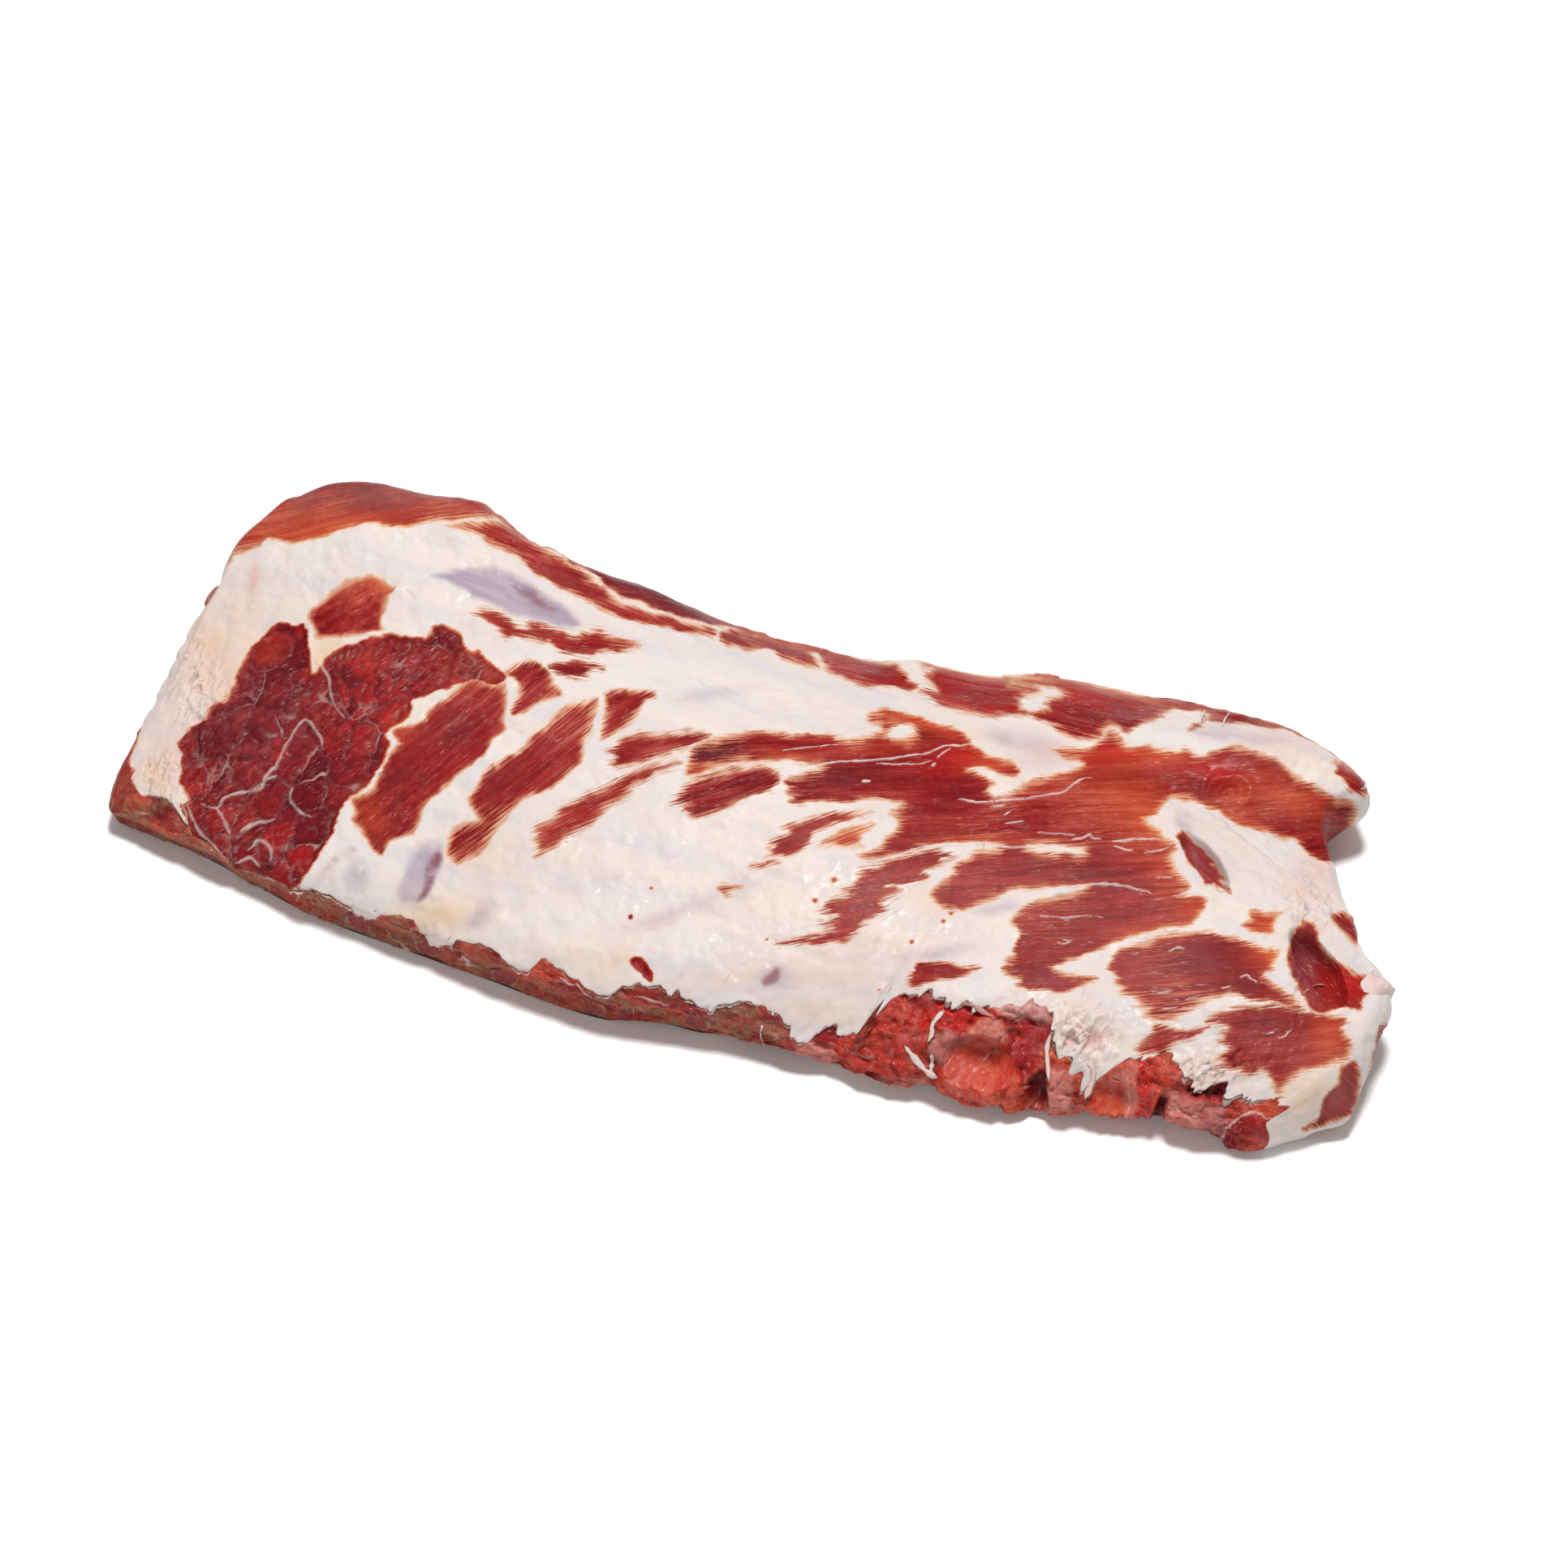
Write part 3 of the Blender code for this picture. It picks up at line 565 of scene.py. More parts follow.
LEAN_V = pairs(1378, 1170, 1420, 1155, 1450, 1149, 1500, 1152, 1527, 1154, 1555, 1169, 1565, 1167,
    1574, 1170, 1579, 1176, 1567, 1188, 1566, 1195, 1556, 1200, 1560, 1208, 1579, 1219, 1600, 1239,
    1604, 1246, 1560, 1234, 1520, 1228, 1505, 1229, 1492, 1233, 1450, 1253, 1435, 1257, 1405, 1252,
    1412, 1246, 1396, 1241, 1404, 1235, 1380, 1222, 1385, 1216, 1372, 1210, 1376, 1202, 1367, 1194,
    1371, 1181)
LEAN_W = pairs(1485, 1257, 1503, 1246, 1535, 1240, 1580, 1241, 1596, 1241, 1618, 1250, 1632, 1250,
    1655, 1257, 1662, 1263, 1656, 1270, 1667, 1286, 1656, 1308, 1612, 1318, 1592, 1333, 1578, 1350,
    1570, 1348, 1563, 1328, 1556, 1321, 1535, 1324, 1500, 1314, 1509, 1308, 1500, 1304, 1510, 1297,
    1512, 1288, 1500, 1282, 1508, 1276, 1498, 1272, 1512, 1266, 1496, 1262)
LEAN_X = pairs(1425, 1262, 1455, 1268, 1490, 1262, 1470, 1277, 1445, 1288, 1435, 1297, 1412, 1297,
    1400, 1294, 1412, 1280, 1420, 1272)
LEAN_Y = pairs(1120, 1208, 1122, 1203, 1128, 1198, 1130, 1192, 1135, 1187, 1155, 1184, 1205, 1193,
    1200, 1198, 1150, 1208, 1130, 1215, 1122, 1214)
LEAN_Z = pairs(1538, 1125, 1548, 1123, 1560, 1126, 1580, 1124, 1568, 1140, 1570, 1148, 1560, 1152,
    1545, 1150, 1528, 1140, 1538, 1132)
LEAN_SPOT = pairs(886, 1094, 896, 1092, 916, 1095, 898, 1101, 903, 1104, 898, 1108, 888, 1100)
LEAN_SPOT_2 = pairs(922, 1070, 930, 1065, 940, 1062, 955, 1062, 962, 1064, 950, 1066, 940, 1070,
    930, 1071)
SMALL_POCKET = pairs(1450, 1028, 1455, 1026, 1462, 1028, 1498, 1062, 1492, 1063, 1513, 1083,
    1505, 1086, 1518, 1099, 1500, 1094, 1495, 1090, 1485, 1092, 1480, 1080, 1462, 1062, 1460, 1055,
    1463, 1050, 1452, 1035)
END_POCKET = pairs(1593, 1151, 1602, 1138, 1617, 1137, 1625, 1148, 1628, 1164, 1642, 1180,
    1676, 1202, 1693, 1204, 1695, 1215, 1677, 1229, 1676, 1243, 1656, 1243, 1636, 1248, 1623, 1248,
    1612, 1240, 1593, 1202, 1588, 1186, 1588, 1167)
RIDGE_STRIPE = pairs(1462, 900, 1485, 885, 1500, 880, 1530, 884, 1568, 897, 1555, 897, 1540, 893,
    1495, 893, 1487, 890, 1476, 897)
RIDGE_FLECK = pairs(1443, 871, 1455, 868, 1470, 870, 1460, 874, 1445, 874)
RIDGE_LEAN = pairs(1641, 937, 1660, 943, 1668, 948, 1685, 945, 1695, 965, 1690, 980, 1670, 978,
    1662, 975, 1650, 958, 1643, 952, 1645, 946)
END_FLAP = pairs(1642, 1126, 1661, 1130, 1680, 1140, 1686, 1161, 1672, 1166, 1652, 1148,
    1642, 1137)
CORNER_LEAN = pairs(1655, 1315, 1673, 1312, 1677, 1350, 1672, 1365, 1665, 1375, 1655, 1380,
    1640, 1383, 1625, 1390, 1612, 1393, 1605, 1390, 1622, 1380, 1630, 1355, 1650, 1335, 1648, 1328)
END_SLIVER = pairs(1697, 1272, 1712, 1262, 1735, 1262, 1728, 1300, 1708, 1340, 1690, 1352,
    1684, 1342, 1688, 1322, 1692, 1300)
LEFT_CORNER = pairs(150, 880, 170, 906, 158, 938, 166, 950, 163, 958, 172, 984, 150, 1020,
    100, 1040, 80, 960)
LEAN = [
    (6, 3, 10, ROLL), (7, -0.5, 30, EYE_OF_LEAN), (1.5, 0, 35, DARK_LEAN), (5, 0.8, 45, LEAN_B),
    (4, 3, 40, LEAN_D), (3, 6, -8, STREAK_E), (3, 6, -8, STREAK_G), (4, 3, -20, FAR_STRIP),
    (3, 2, -10, FAR_FLAP), (4, 3, -20, STRIP_2), (3, 2, -15, FLAP_2), (4, 4, -12, STRIP_3),
    (5, 6, -12, STRIP_4), (4, 4, -12, STRIP_5), (6, 1.4, 40, STRIP_H), (5, 3, 30, LEAN_I),
    (4, 6, 12, LEAN_L), (4, 7, 22, LEAN_M), (4, 6, 15, LEAN_O), (4, 6, 18, LEAN_Q),
    (9, 3, 20, LEAN_R), (5, 3, 3, FIELD), (3, 7, 10, LEAN_S), (6, 4, 4, LEAN_V), (5, 6, 5, LEAN_W),
    (3, 5, 15, LEAN_X), (3, 4, 5, LEAN_Y), (6, 2, 0, LEAN_Z), (3, 4, 10, LEAN_SPOT),
    (3, 5, 15, LEAN_SPOT_2), (2, 1, -40, SMALL_POCKET), (2, 1, -45, END_POCKET),
    (3, 5, -15, RIDGE_STRIPE), (3, 3, -10, RIDGE_FLECK), (3, 3, -40, RIDGE_LEAN),
    (3, 2, -40, END_FLAP), (3, 1, -60, CORNER_LEAN), (2, 1, -70, END_SLIVER),
    (2, 2, 60, LEFT_CORNER),
]
# fat lying in the lean: softness, feathering, direction, outline
FAT = [
    (8, 2, 0, pairs(1091, 905, 1103, 894, 1113, 893, 1122, 895, 1128, 901, 1127, 907, 1118, 911,
        1105, 912, 1096, 910)),
    (3, 6, 10, pairs(1450, 1268, 1480, 1257, 1505, 1244, 1540, 1240, 1590, 1241, 1550, 1235,
        1512, 1239, 1465, 1258, 1450, 1262)),
    (3, 3, 3, pairs(1270, 1041, 1315, 1041, 1338, 1048, 1330, 1051, 1300, 1050, 1275, 1044)),
]
# white strands on the lean: half width, points
STRANDS = [
    (1.4, pairs(980, 945, 1020, 940, 1045, 937, 1100, 934, 1140, 927, 1165, 917, 1190, 917)),
    (0.9, pairs(965, 923, 980, 921, 1000, 919, 1035, 917)),
    (0.9, pairs(1080, 940, 1100, 941, 1115, 940, 1132, 940, 1148, 935)),
    (1.1, pairs(1155, 932, 1165, 925, 1172, 920)),
    (1.6, pairs(1148, 942, 1152, 938)),
    (2.0, pairs(1062, 962, 1073, 962)),
    (1.6, pairs(1180, 982, 1205, 985, 1260, 982, 1305, 974, 1315, 970, 1325, 962, 1335, 958,
        1345, 958)),
    (0.8, pairs(1222, 990, 1238, 990)),
    (1.0, pairs(1237, 1001, 1245, 997)),
    (0.9, pairs(1240, 1012, 1262, 1010)),
    (1.0, pairs(1278, 1025, 1300, 1026, 1325, 1027)),
    (1.5, pairs(1320, 1033, 1335, 1031, 1342, 1027, 1346, 1032, 1356, 1033)),
    (1.8, pairs(1370, 1036, 1385, 1034, 1400, 1032, 1430, 1031)),
    (1.2, pairs(1373, 1041, 1385, 1044, 1396, 1045)),
    (1.0, pairs(1410, 1048, 1425, 1047, 1436, 1044, 1442, 1041)),
    (1.0, pairs(1425, 1080, 1445, 1080)),
    (2.0, pairs(1068, 1063, 1100, 1057, 1125, 1045, 1155, 1040, 1190, 1040, 1240, 1042,
        1275, 1043)),
    (1.9, pairs(1300, 1093, 1330, 1089, 1360, 1087, 1380, 1089, 1400, 1094, 1418, 1099)),
    (1.0, pairs(1445, 1103, 1462, 1101, 1480, 1104)),
    (1.4, pairs(1420, 1220, 1430, 1222, 1445, 1219)),
    (1.6, pairs(1505, 1217, 1516, 1215)),
    (1.2, pairs(1529, 1203, 1537, 1200, 1541, 1204, 1549, 1210)),
    (1.2, pairs(1440, 1171, 1450, 1167, 1459, 1169)),
    (1.0, pairs(1460, 1230, 1480, 1227)),
    (1.2, pairs(1430, 1242, 1450, 1240)),
    (1.0, pairs(1575, 1279, 1583, 1276, 1590, 1268)),
    (1.2, pairs(1560, 1274, 1570, 1272)),
    (1.3, pairs(1282, 1126, 1310, 1128, 1335, 1126, 1360, 1129)),
    (1.0, pairs(1303, 1158, 1312, 1160, 1318, 1157, 1310, 1155)),
    (1.4, pairs(746, 868, 740, 885, 735, 900, 728, 912, 722, 920)),
    (2.0, pairs(624, 846, 628, 858, 625, 870, 624, 882)),
    (2.2, pairs(247, 990, 265, 993, 276, 981, 294, 974, 318, 970, 325, 956, 341, 936, 365, 895,
        378, 886, 394, 906, 397, 924)),
    (2.6, pairs(265, 992, 273, 1006, 281, 1024)),
    (1.9, pairs(359, 968, 356, 983, 369, 998, 382, 1006)),
    (3.0, pairs(294, 1024, 312, 1012, 329, 1009, 338, 1006)),
    (2.6, pairs(303, 1045, 318, 1033, 332, 1045, 332, 1059)),
    (2.2, pairs(288, 1068, 306, 1056, 318, 1068)),
    (1.7, pairs(387, 814, 402, 830, 408, 862, 424, 883)),
    (1.5, pairs(307, 974, 322, 962, 339, 952)),
    (2.4, pairs(230, 990, 238, 1012, 250, 1032, 272, 1052)),
]


# specks of blood and lean in the fat: pixel and half size in pixels
SPECKS = [
    (1172, 1123, 3.4), (1163, 1134, 2.2), (1125, 1160, 2.0), (1067, 1222, 2.2), (1083, 1218, 2.2),
    (1027, 1083, 2.4), (1002, 1110, 2.0), (945, 1158, 2.2), (777, 1132, 2.6), (804, 1093, 3.0),
]
TEAR = pairs(775, 1185, 784, 1180, 793, 1183, 799, 1190, 803, 1200, 802, 1210, 795, 1205,
    788, 1198, 780, 1192)
SPECK_ROUND = [(math.cos(a * math.pi / 3), 0.7 * math.sin(a * math.pi / 3)) for a in range(6)]
LEAN += [(1, -1, 10, [(x + 0.5 * r * a, y + 0.5 * r * b) for a, b in SPECK_ROUND])
         for x, y, r in SPECKS]
LEAN.append((1, -1, 60, TEAR))

# stains: horizontal and vertical pixel, half sizes, turn (deg), strength
STAINS = {
    "dark": [(820, 735, 100, 20, -20, 0.7), (1080, 828, 50, 16, -8, 0.65),
        (1200, 855, 60, 18, -8, 0.6), (900, 925, 40, 16, 5, 0.5), (300, 900, 60, 45, 30, 0.5),
        (250, 930, 30, 50, 0, 0.5), (1050, 955, 60, 18, 3, 0.6), (1010, 962, 40, 18, 5, 0.4),
        (880, 922, 45, 14, 15, 0.55), (1330, 880, 40, 14, -5, 0.5), (1480, 975, 22, 30, 30, 0.5),
        # The dark spot at 1620, 1015 is a painted shadow along the trough's right end.
        (1400, 960, 40, 16, -10, 0.4), (560, 790, 20, 14, 0, 0.4), (1620, 1015, 12, 25, 45, 0.35),
        (1380, 870, 20, 25, 0, 0.4), (1610, 1160, 18, 30, -20, 0.5), (860, 925, 40, 14, 10, 0.4),
        (560, 900, 44, 34, 30, 0.6)],
    "purple": [(300, 890, 70, 40, 0, 0.4), (850, 755, 90, 14, -18, 0.7),
        (620, 715, 60, 22, -10, 0.6), (1480, 1060, 40, 34, -50, 0.5),
        (1600, 1190, 18, 40, -10, 0.6), (540, 596, 80, 14, 6, 0.45), (1110, 1110, 60, 30, 20, 0.2),
        (1290, 1205, 50, 14, 0, 0.4), (1600, 1225, 20, 20, 0, 0.5), (1020, 798, 26, 8, -15, 0.6),
        (1420, 1190, 60, 30, 0, 0.15)],
    "orange": [(420, 640, 140, 26, 0, 0.7), (590, 815, 34, 20, 0, 0.6), (455, 815, 40, 18, 0, 0.5),
        (330, 800, 24, 20, 0, 0.4), (1130, 890, 70, 10, -14, 0.9), (1210, 940, 40, 14, -10, 0.8),
        (1420, 932, 50, 12, -3, 0.85), (1600, 990, 60, 22, -30, 0.8), (1390, 975, 50, 40, 0, 0.75),
        (1420, 1015, 30, 30, 0, 0.8), (1440, 1075, 22, 30, 0, 0.6), (1470, 1120, 24, 16, 0, 0.8),
        (1400, 1145, 50, 6, 5, 0.6), (1560, 1140, 30, 20, 0, 0.9), (1640, 1280, 26, 34, 0, 0.8),
        (1580, 1200, 20, 40, 20, 0.5), (1520, 985, 40, 20, 0, 0.6), (1200, 1032, 70, 7, -2, 0.5),
        (970, 930, 40, 8, -8, 0.5), (420, 655, 100, 10, 4, 0.7), (470, 720, 40, 12, 20, 0.6),
        (455, 1010, 18, 30, 20, 0.7), (490, 900, 20, 18, 30, 0.6), (1560, 1175, 22, 14, 0, 0.8),
        (770, 770, 60, 8, -22, 0.7), (1045, 1030, 34, 14, 20, 0.7), (860, 946, 18, 6, 0, 0.8),
        (1300, 945, 50, 16, 15, 0.6), (1540, 1022, 60, 10, -25, 0.5), (1110, 918, 50, 10, 0, 0.5)],
    "wet_and_lit": [(1180, 930, 50, 20, 20, 0.6), (1370, 925, 40, 14, 10, 0.6),
        (1220, 870, 60, 14, -5, 0.6), (1490, 950, 40, 16, -10, 0.7), (1660, 1210, 34, 20, -10, 0.8),
        (1080, 832, 50, 12, -8, 0.6), (560, 920, 40, 40, 30, 0.3), (1190, 845, 50, 20, 0, 0.45),
        (1330, 860, 70, 20, 0, 0.4), (440, 880, 50, 40, 0, 0.35), (330, 1040, 50, 30, 20, 0.4)],
    "brown": [(152, 985, 20, 40, 0, 0.55)],
    "film": [(1250, 1100, 190, 60, 0, 0.07), (1420, 1190, 160, 50, 0, 0.06),
        (1080, 1110, 60, 50, 40, 0.08), (1560, 1290, 80, 40, 0, 0.06),
        (1010, 1030, 60, 20, 20, 0.06), (460, 606, 160, 26, 4, 0.14),
        (1645, 1350, 26, 36, 0, 0.18)],
    "shag": [(1330, 1275, 40, 40, -30, 1.0), (1480, 1320, 70, 22, 10, 1.0),
        (1610, 1120, 40, 30, -40, 0.5), (200, 955, 34, 24, 20, 0.6), (240, 845, 34, 90, 24, 0.6),
        (1600, 1200, 10, 50, 0, 0.7)],
    "cream": [(200, 950, 30, 34, 20, 0.9), (262, 800, 50, 110, 25, 0.6),
        (530, 1130, 60, 24, 10, 0.9), (1145, 1110, 20, 14, -30, 0.7), (600, 1060, 60, 40, 0, 0.3),
        (900, 1205, 120, 16, 4, 0.35), (1000, 1250, 60, 18, -5, 0.4), (1610, 1345, 30, 18, 30, 0.9),
        (1190, 905, 40, 12, -5, 0.5), (760, 1180, 30, 14, 30, 0.5), (310, 760, 60, 60, 0, 0.3),
        (1600, 1100, 12, 5, 0, 0.6), (410, 800, 24, 20, 0, 0.8), (720, 1180, 60, 30, 0, 0.3)],
    "blush": [(300, 860, 26, 90, 28, 0.4), (210, 905, 20, 40, 20, 0.3),
        (1620, 1080, 26, 30, 0, 0.8), (1280, 925, 40, 24, 0, 0.5), (1080, 1180, 120, 40, 0, 0.25),
        (312, 722, 8, 10, 0, 0.9), (800, 1135, 60, 10, 10, 0.3), (1560, 905, 90, 24, -15, 0.45),
        (1640, 1215, 20, 40, 0, 0.4)],
    "slate": [(1240, 912, 26, 10, -30, 0.5), (900, 1100, 40, 12, 20, 0.4),
        (820, 1130, 40, 8, 20, 0.35), (955, 1205, 20, 16, 0, 0.6), (1160, 1172, 34, 8, 8, 0.6),
        (1225, 1120, 30, 8, 5, 0.5), (880, 855, 50, 8, 8, 0.35), (225, 925, 6, 8, 0, 0.5)],
}

# tinted patches of the fat: mask, strength, softness, outline
TINTED = [
    ("slate", 0.95, 3, pairs(529, 712, 560, 702, 590, 699, 620, 702, 645, 712, 690, 742, 708, 758,
        716, 772, 698, 776, 650, 764, 600, 744, 560, 722)),
    ("purple_streak", 0.8, 3, pairs(632, 718, 652, 724, 672, 738, 690, 752, 676, 754, 654, 744,
        638, 732)),
    ("slate", 0.75, 4, pairs(500, 1070, 508, 1050, 520, 1038, 536, 1034, 550, 1040, 536, 1086,
        526, 1106, 508, 1114, 490, 1112, 488, 1096)),
    ("purple_streak", 0.95, 2, pairs(528, 1054, 542, 1044, 546, 1058, 536, 1084, 524, 1106,
        510, 1112, 520, 1090)),
    ("slate", 0.5, 5, pairs(570, 1140, 586, 1116, 604, 1108, 614, 1118, 600, 1136, 584, 1148)),
    ("purple_streak", 0.9, 2, pairs(388, 1086, 398, 1070, 414, 1052, 432, 1042, 440, 1048,
        424, 1060, 408, 1076, 396, 1090)),
    ("slate", 0.5, 5, pairs(430, 1060, 448, 1056, 462, 1070, 452, 1092, 430, 1096, 420, 1080)),
    ("cream", 1.0, 5, pairs(1590, 1352, 1606, 1338, 1628, 1332, 1640, 1338, 1628, 1352, 1612, 1366,
        1596, 1372)),
    ("blush", 1.0, 2, pairs(796, 1147, 815, 1139, 838, 1131, 836, 1136, 816, 1145, 800, 1150)),
    ("purple_streak", 0.8, 2, pairs(938, 1208, 946, 1198, 960, 1190, 964, 1204, 958, 1214,
        942, 1216)),
    ("blush", 0.8, 3, pairs(310, 700, 318, 696, 322, 710, 318, 730, 308, 734, 304, 722)),
    ("cream", 0.8, 4, pairs(384, 790, 400, 790, 428, 798, 412, 812, 398, 826, 388, 836, 382, 820)),
    ("slate", 0.5, 6, pairs(255, 690, 275, 694, 268, 716, 262, 736, 256, 726)),
    ("slate", 0.45, 4, pairs(1466, 898, 1500, 896, 1540, 904, 1580, 912, 1560, 920, 1510, 912,
        1476, 908)),
    # Painted shadow: this slate band is the bluish shade along the white ridge.
    ("slate", 0.6, 4, pairs(1446, 1004, 1462, 1010, 1480, 1030, 1500, 1052, 1516, 1080, 1508, 1084,
        1490, 1064, 1470, 1040, 1452, 1022)),
    ("film_tint", 0.6, 8, pairs(1216, 902, 1250, 896, 1296, 906, 1330, 926, 1320, 948, 1280, 950,
        1236, 930)),
    ("slate", 0.5, 3, pairs(942, 1202, 962, 1198, 966, 1210, 948, 1218)),
    ("slate", 0.5, 4, pairs(1588, 1150, 1594, 1130, 1604, 1130, 1598, 1160, 1600, 1196,
        1590, 1190)),
]

# finer lobes of the dark lean: pixel, half sizes, turn (deg), strength
FINE_LOBES = [
    (458, 835, 62, 44, 10, 1.3), (410, 850, 26, 40, 0, 0.8), (300, 935, 34, 40, 0, 0.7),
]

# creases and folds: rise in millimetres, half width in pixels, points
CREASES = [
    (-0.5, 2.0, pairs(1040, 1158, 1060, 1143, 1080, 1130, 1095, 1118, 1120, 1100, 1145, 1080)),
    (0.4, 2.5, pairs(1044, 1164, 1065, 1149, 1086, 1135, 1101, 1123, 1125, 1106)),
    (-0.6, 2.5, pairs(1500, 1003, 1520, 1020, 1545, 1038, 1565, 1055, 1585, 1070)),
    (-0.5, 2.0, pairs(496, 725, 504, 730, 512, 738)),
    (0.8, 5.0, pairs(1485, 985, 1490, 965, 1505, 955, 1525, 958, 1540, 972, 1535, 990, 1515, 998)),
    (-0.9, 5.0, pairs(1500, 978, 1512, 970, 1525, 976)),
    (0.6, 3.0, pairs(1360, 905, 1375, 900, 1388, 912)),
    (-0.6, 3.0, pairs(380, 828, 372, 845, 368, 862, 372, 880)),
    (0.8, 10.0, pairs(352, 925, 362, 910, 378, 905)),
    (-1.0, 3.0, pairs(338, 950, 330, 965, 318, 980, 300, 990, 270, 996)),
]

# line where the fat sheet ends over the sawn and torn edge
LIP_LINE = pairs(128, 1000, 140, 985, 163, 968, 172, 980, 185, 978, 205, 982, 216, 993, 229, 1012,
    237, 1030, 275, 1056, 290, 1070, 340, 1084, 362, 1094, 385, 1094, 410, 1104, 432, 1118,
    440, 1128, 455, 1132, 470, 1126, 490, 1128, 509, 1133, 515, 1148, 530, 1165, 548, 1167,
    562, 1158, 592, 1162, 616, 1175, 627, 1187, 640, 1195, 650, 1198, 667, 1179, 713, 1208,
    723, 1218, 736, 1225, 749, 1226, 767, 1214, 788, 1209, 797, 1214, 814, 1212, 828, 1226,
    834, 1218, 878, 1246, 884, 1236, 925, 1234, 939, 1237, 971, 1262, 977, 1277, 984, 1287,
    1006, 1269, 1027, 1271, 1040, 1279, 1055, 1277, 1075, 1257, 1091, 1229, 1104, 1222, 1136, 1222,
    1161, 1225, 1177, 1233, 1203, 1237, 1228, 1248, 1251, 1232, 1276, 1236, 1298, 1246, 1310, 1300,
    1336, 1340, 1372, 1315, 1391, 1305, 1412, 1298, 1433, 1300, 1459, 1322, 1481, 1340, 1507, 1337,
    1526, 1350, 1545, 1355, 1560, 1350, 1580, 1362, 1600, 1380)


# looks of torn tissue, as masks
LOOKS = {
    "red": {"lean": 1.0, "rim": 0.2, "wet_and_lit": 1.0, "orange": 0.15},
    "deep": {"lean": 1.0, "rim": 0.2, "wet_and_lit": 0.75, "dark": 0.45},
    # The hole look paints the recessed torn holes in the darkest red: painted shade inside them.
    "hole": {"lean": 1.0, "rim": 0.2, "dark": 1.0, "wet_and_lit": 0.6},
    "orange": {"lean": 1.0, "rim": 0.3, "orange": 0.9, "wet_and_lit": 0.3, "film": 0.04},
    "salmon": {"lean": 1.0, "rim": 0.3, "orange": 0.9, "wet_and_lit": 0.5, "film": 0.03},
    "peach": {"lean": 1.0, "rim": 0.3, "orange": 1.0, "film": 0.28},
    "pink": {"lean": 1.0, "rim": 0.3, "orange": 0.6, "wet_and_lit": 0.3, "film": 0.36, "shag": 0.5},
    "purple": {"lean": 1.0, "rim": 0.3, "orange": 0.5, "purple": 0.35, "film": 0.22},
    "brown": {"lean": 1.0, "rim": 0.3, "orange": 0.4, "wet_and_lit": 0.25, "film": 0.02},
    "tan": {"lean": 1.0, "rim": 0.3, "orange": 1.0, "film": 0.36, "brown": 0.3},
    "bony": {"lean": 1.0, "rim": 0.3, "film": 0.22, "brown": 1.0},
    "fat": {"lean": 0.30, "rim": 0.4, "shag": 0.8, "blush": 0.15},
    "lace": {"lean": 1.0, "rim": 0.4, "orange": 0.4, "film": 0.62, "shag": 0.2},
}
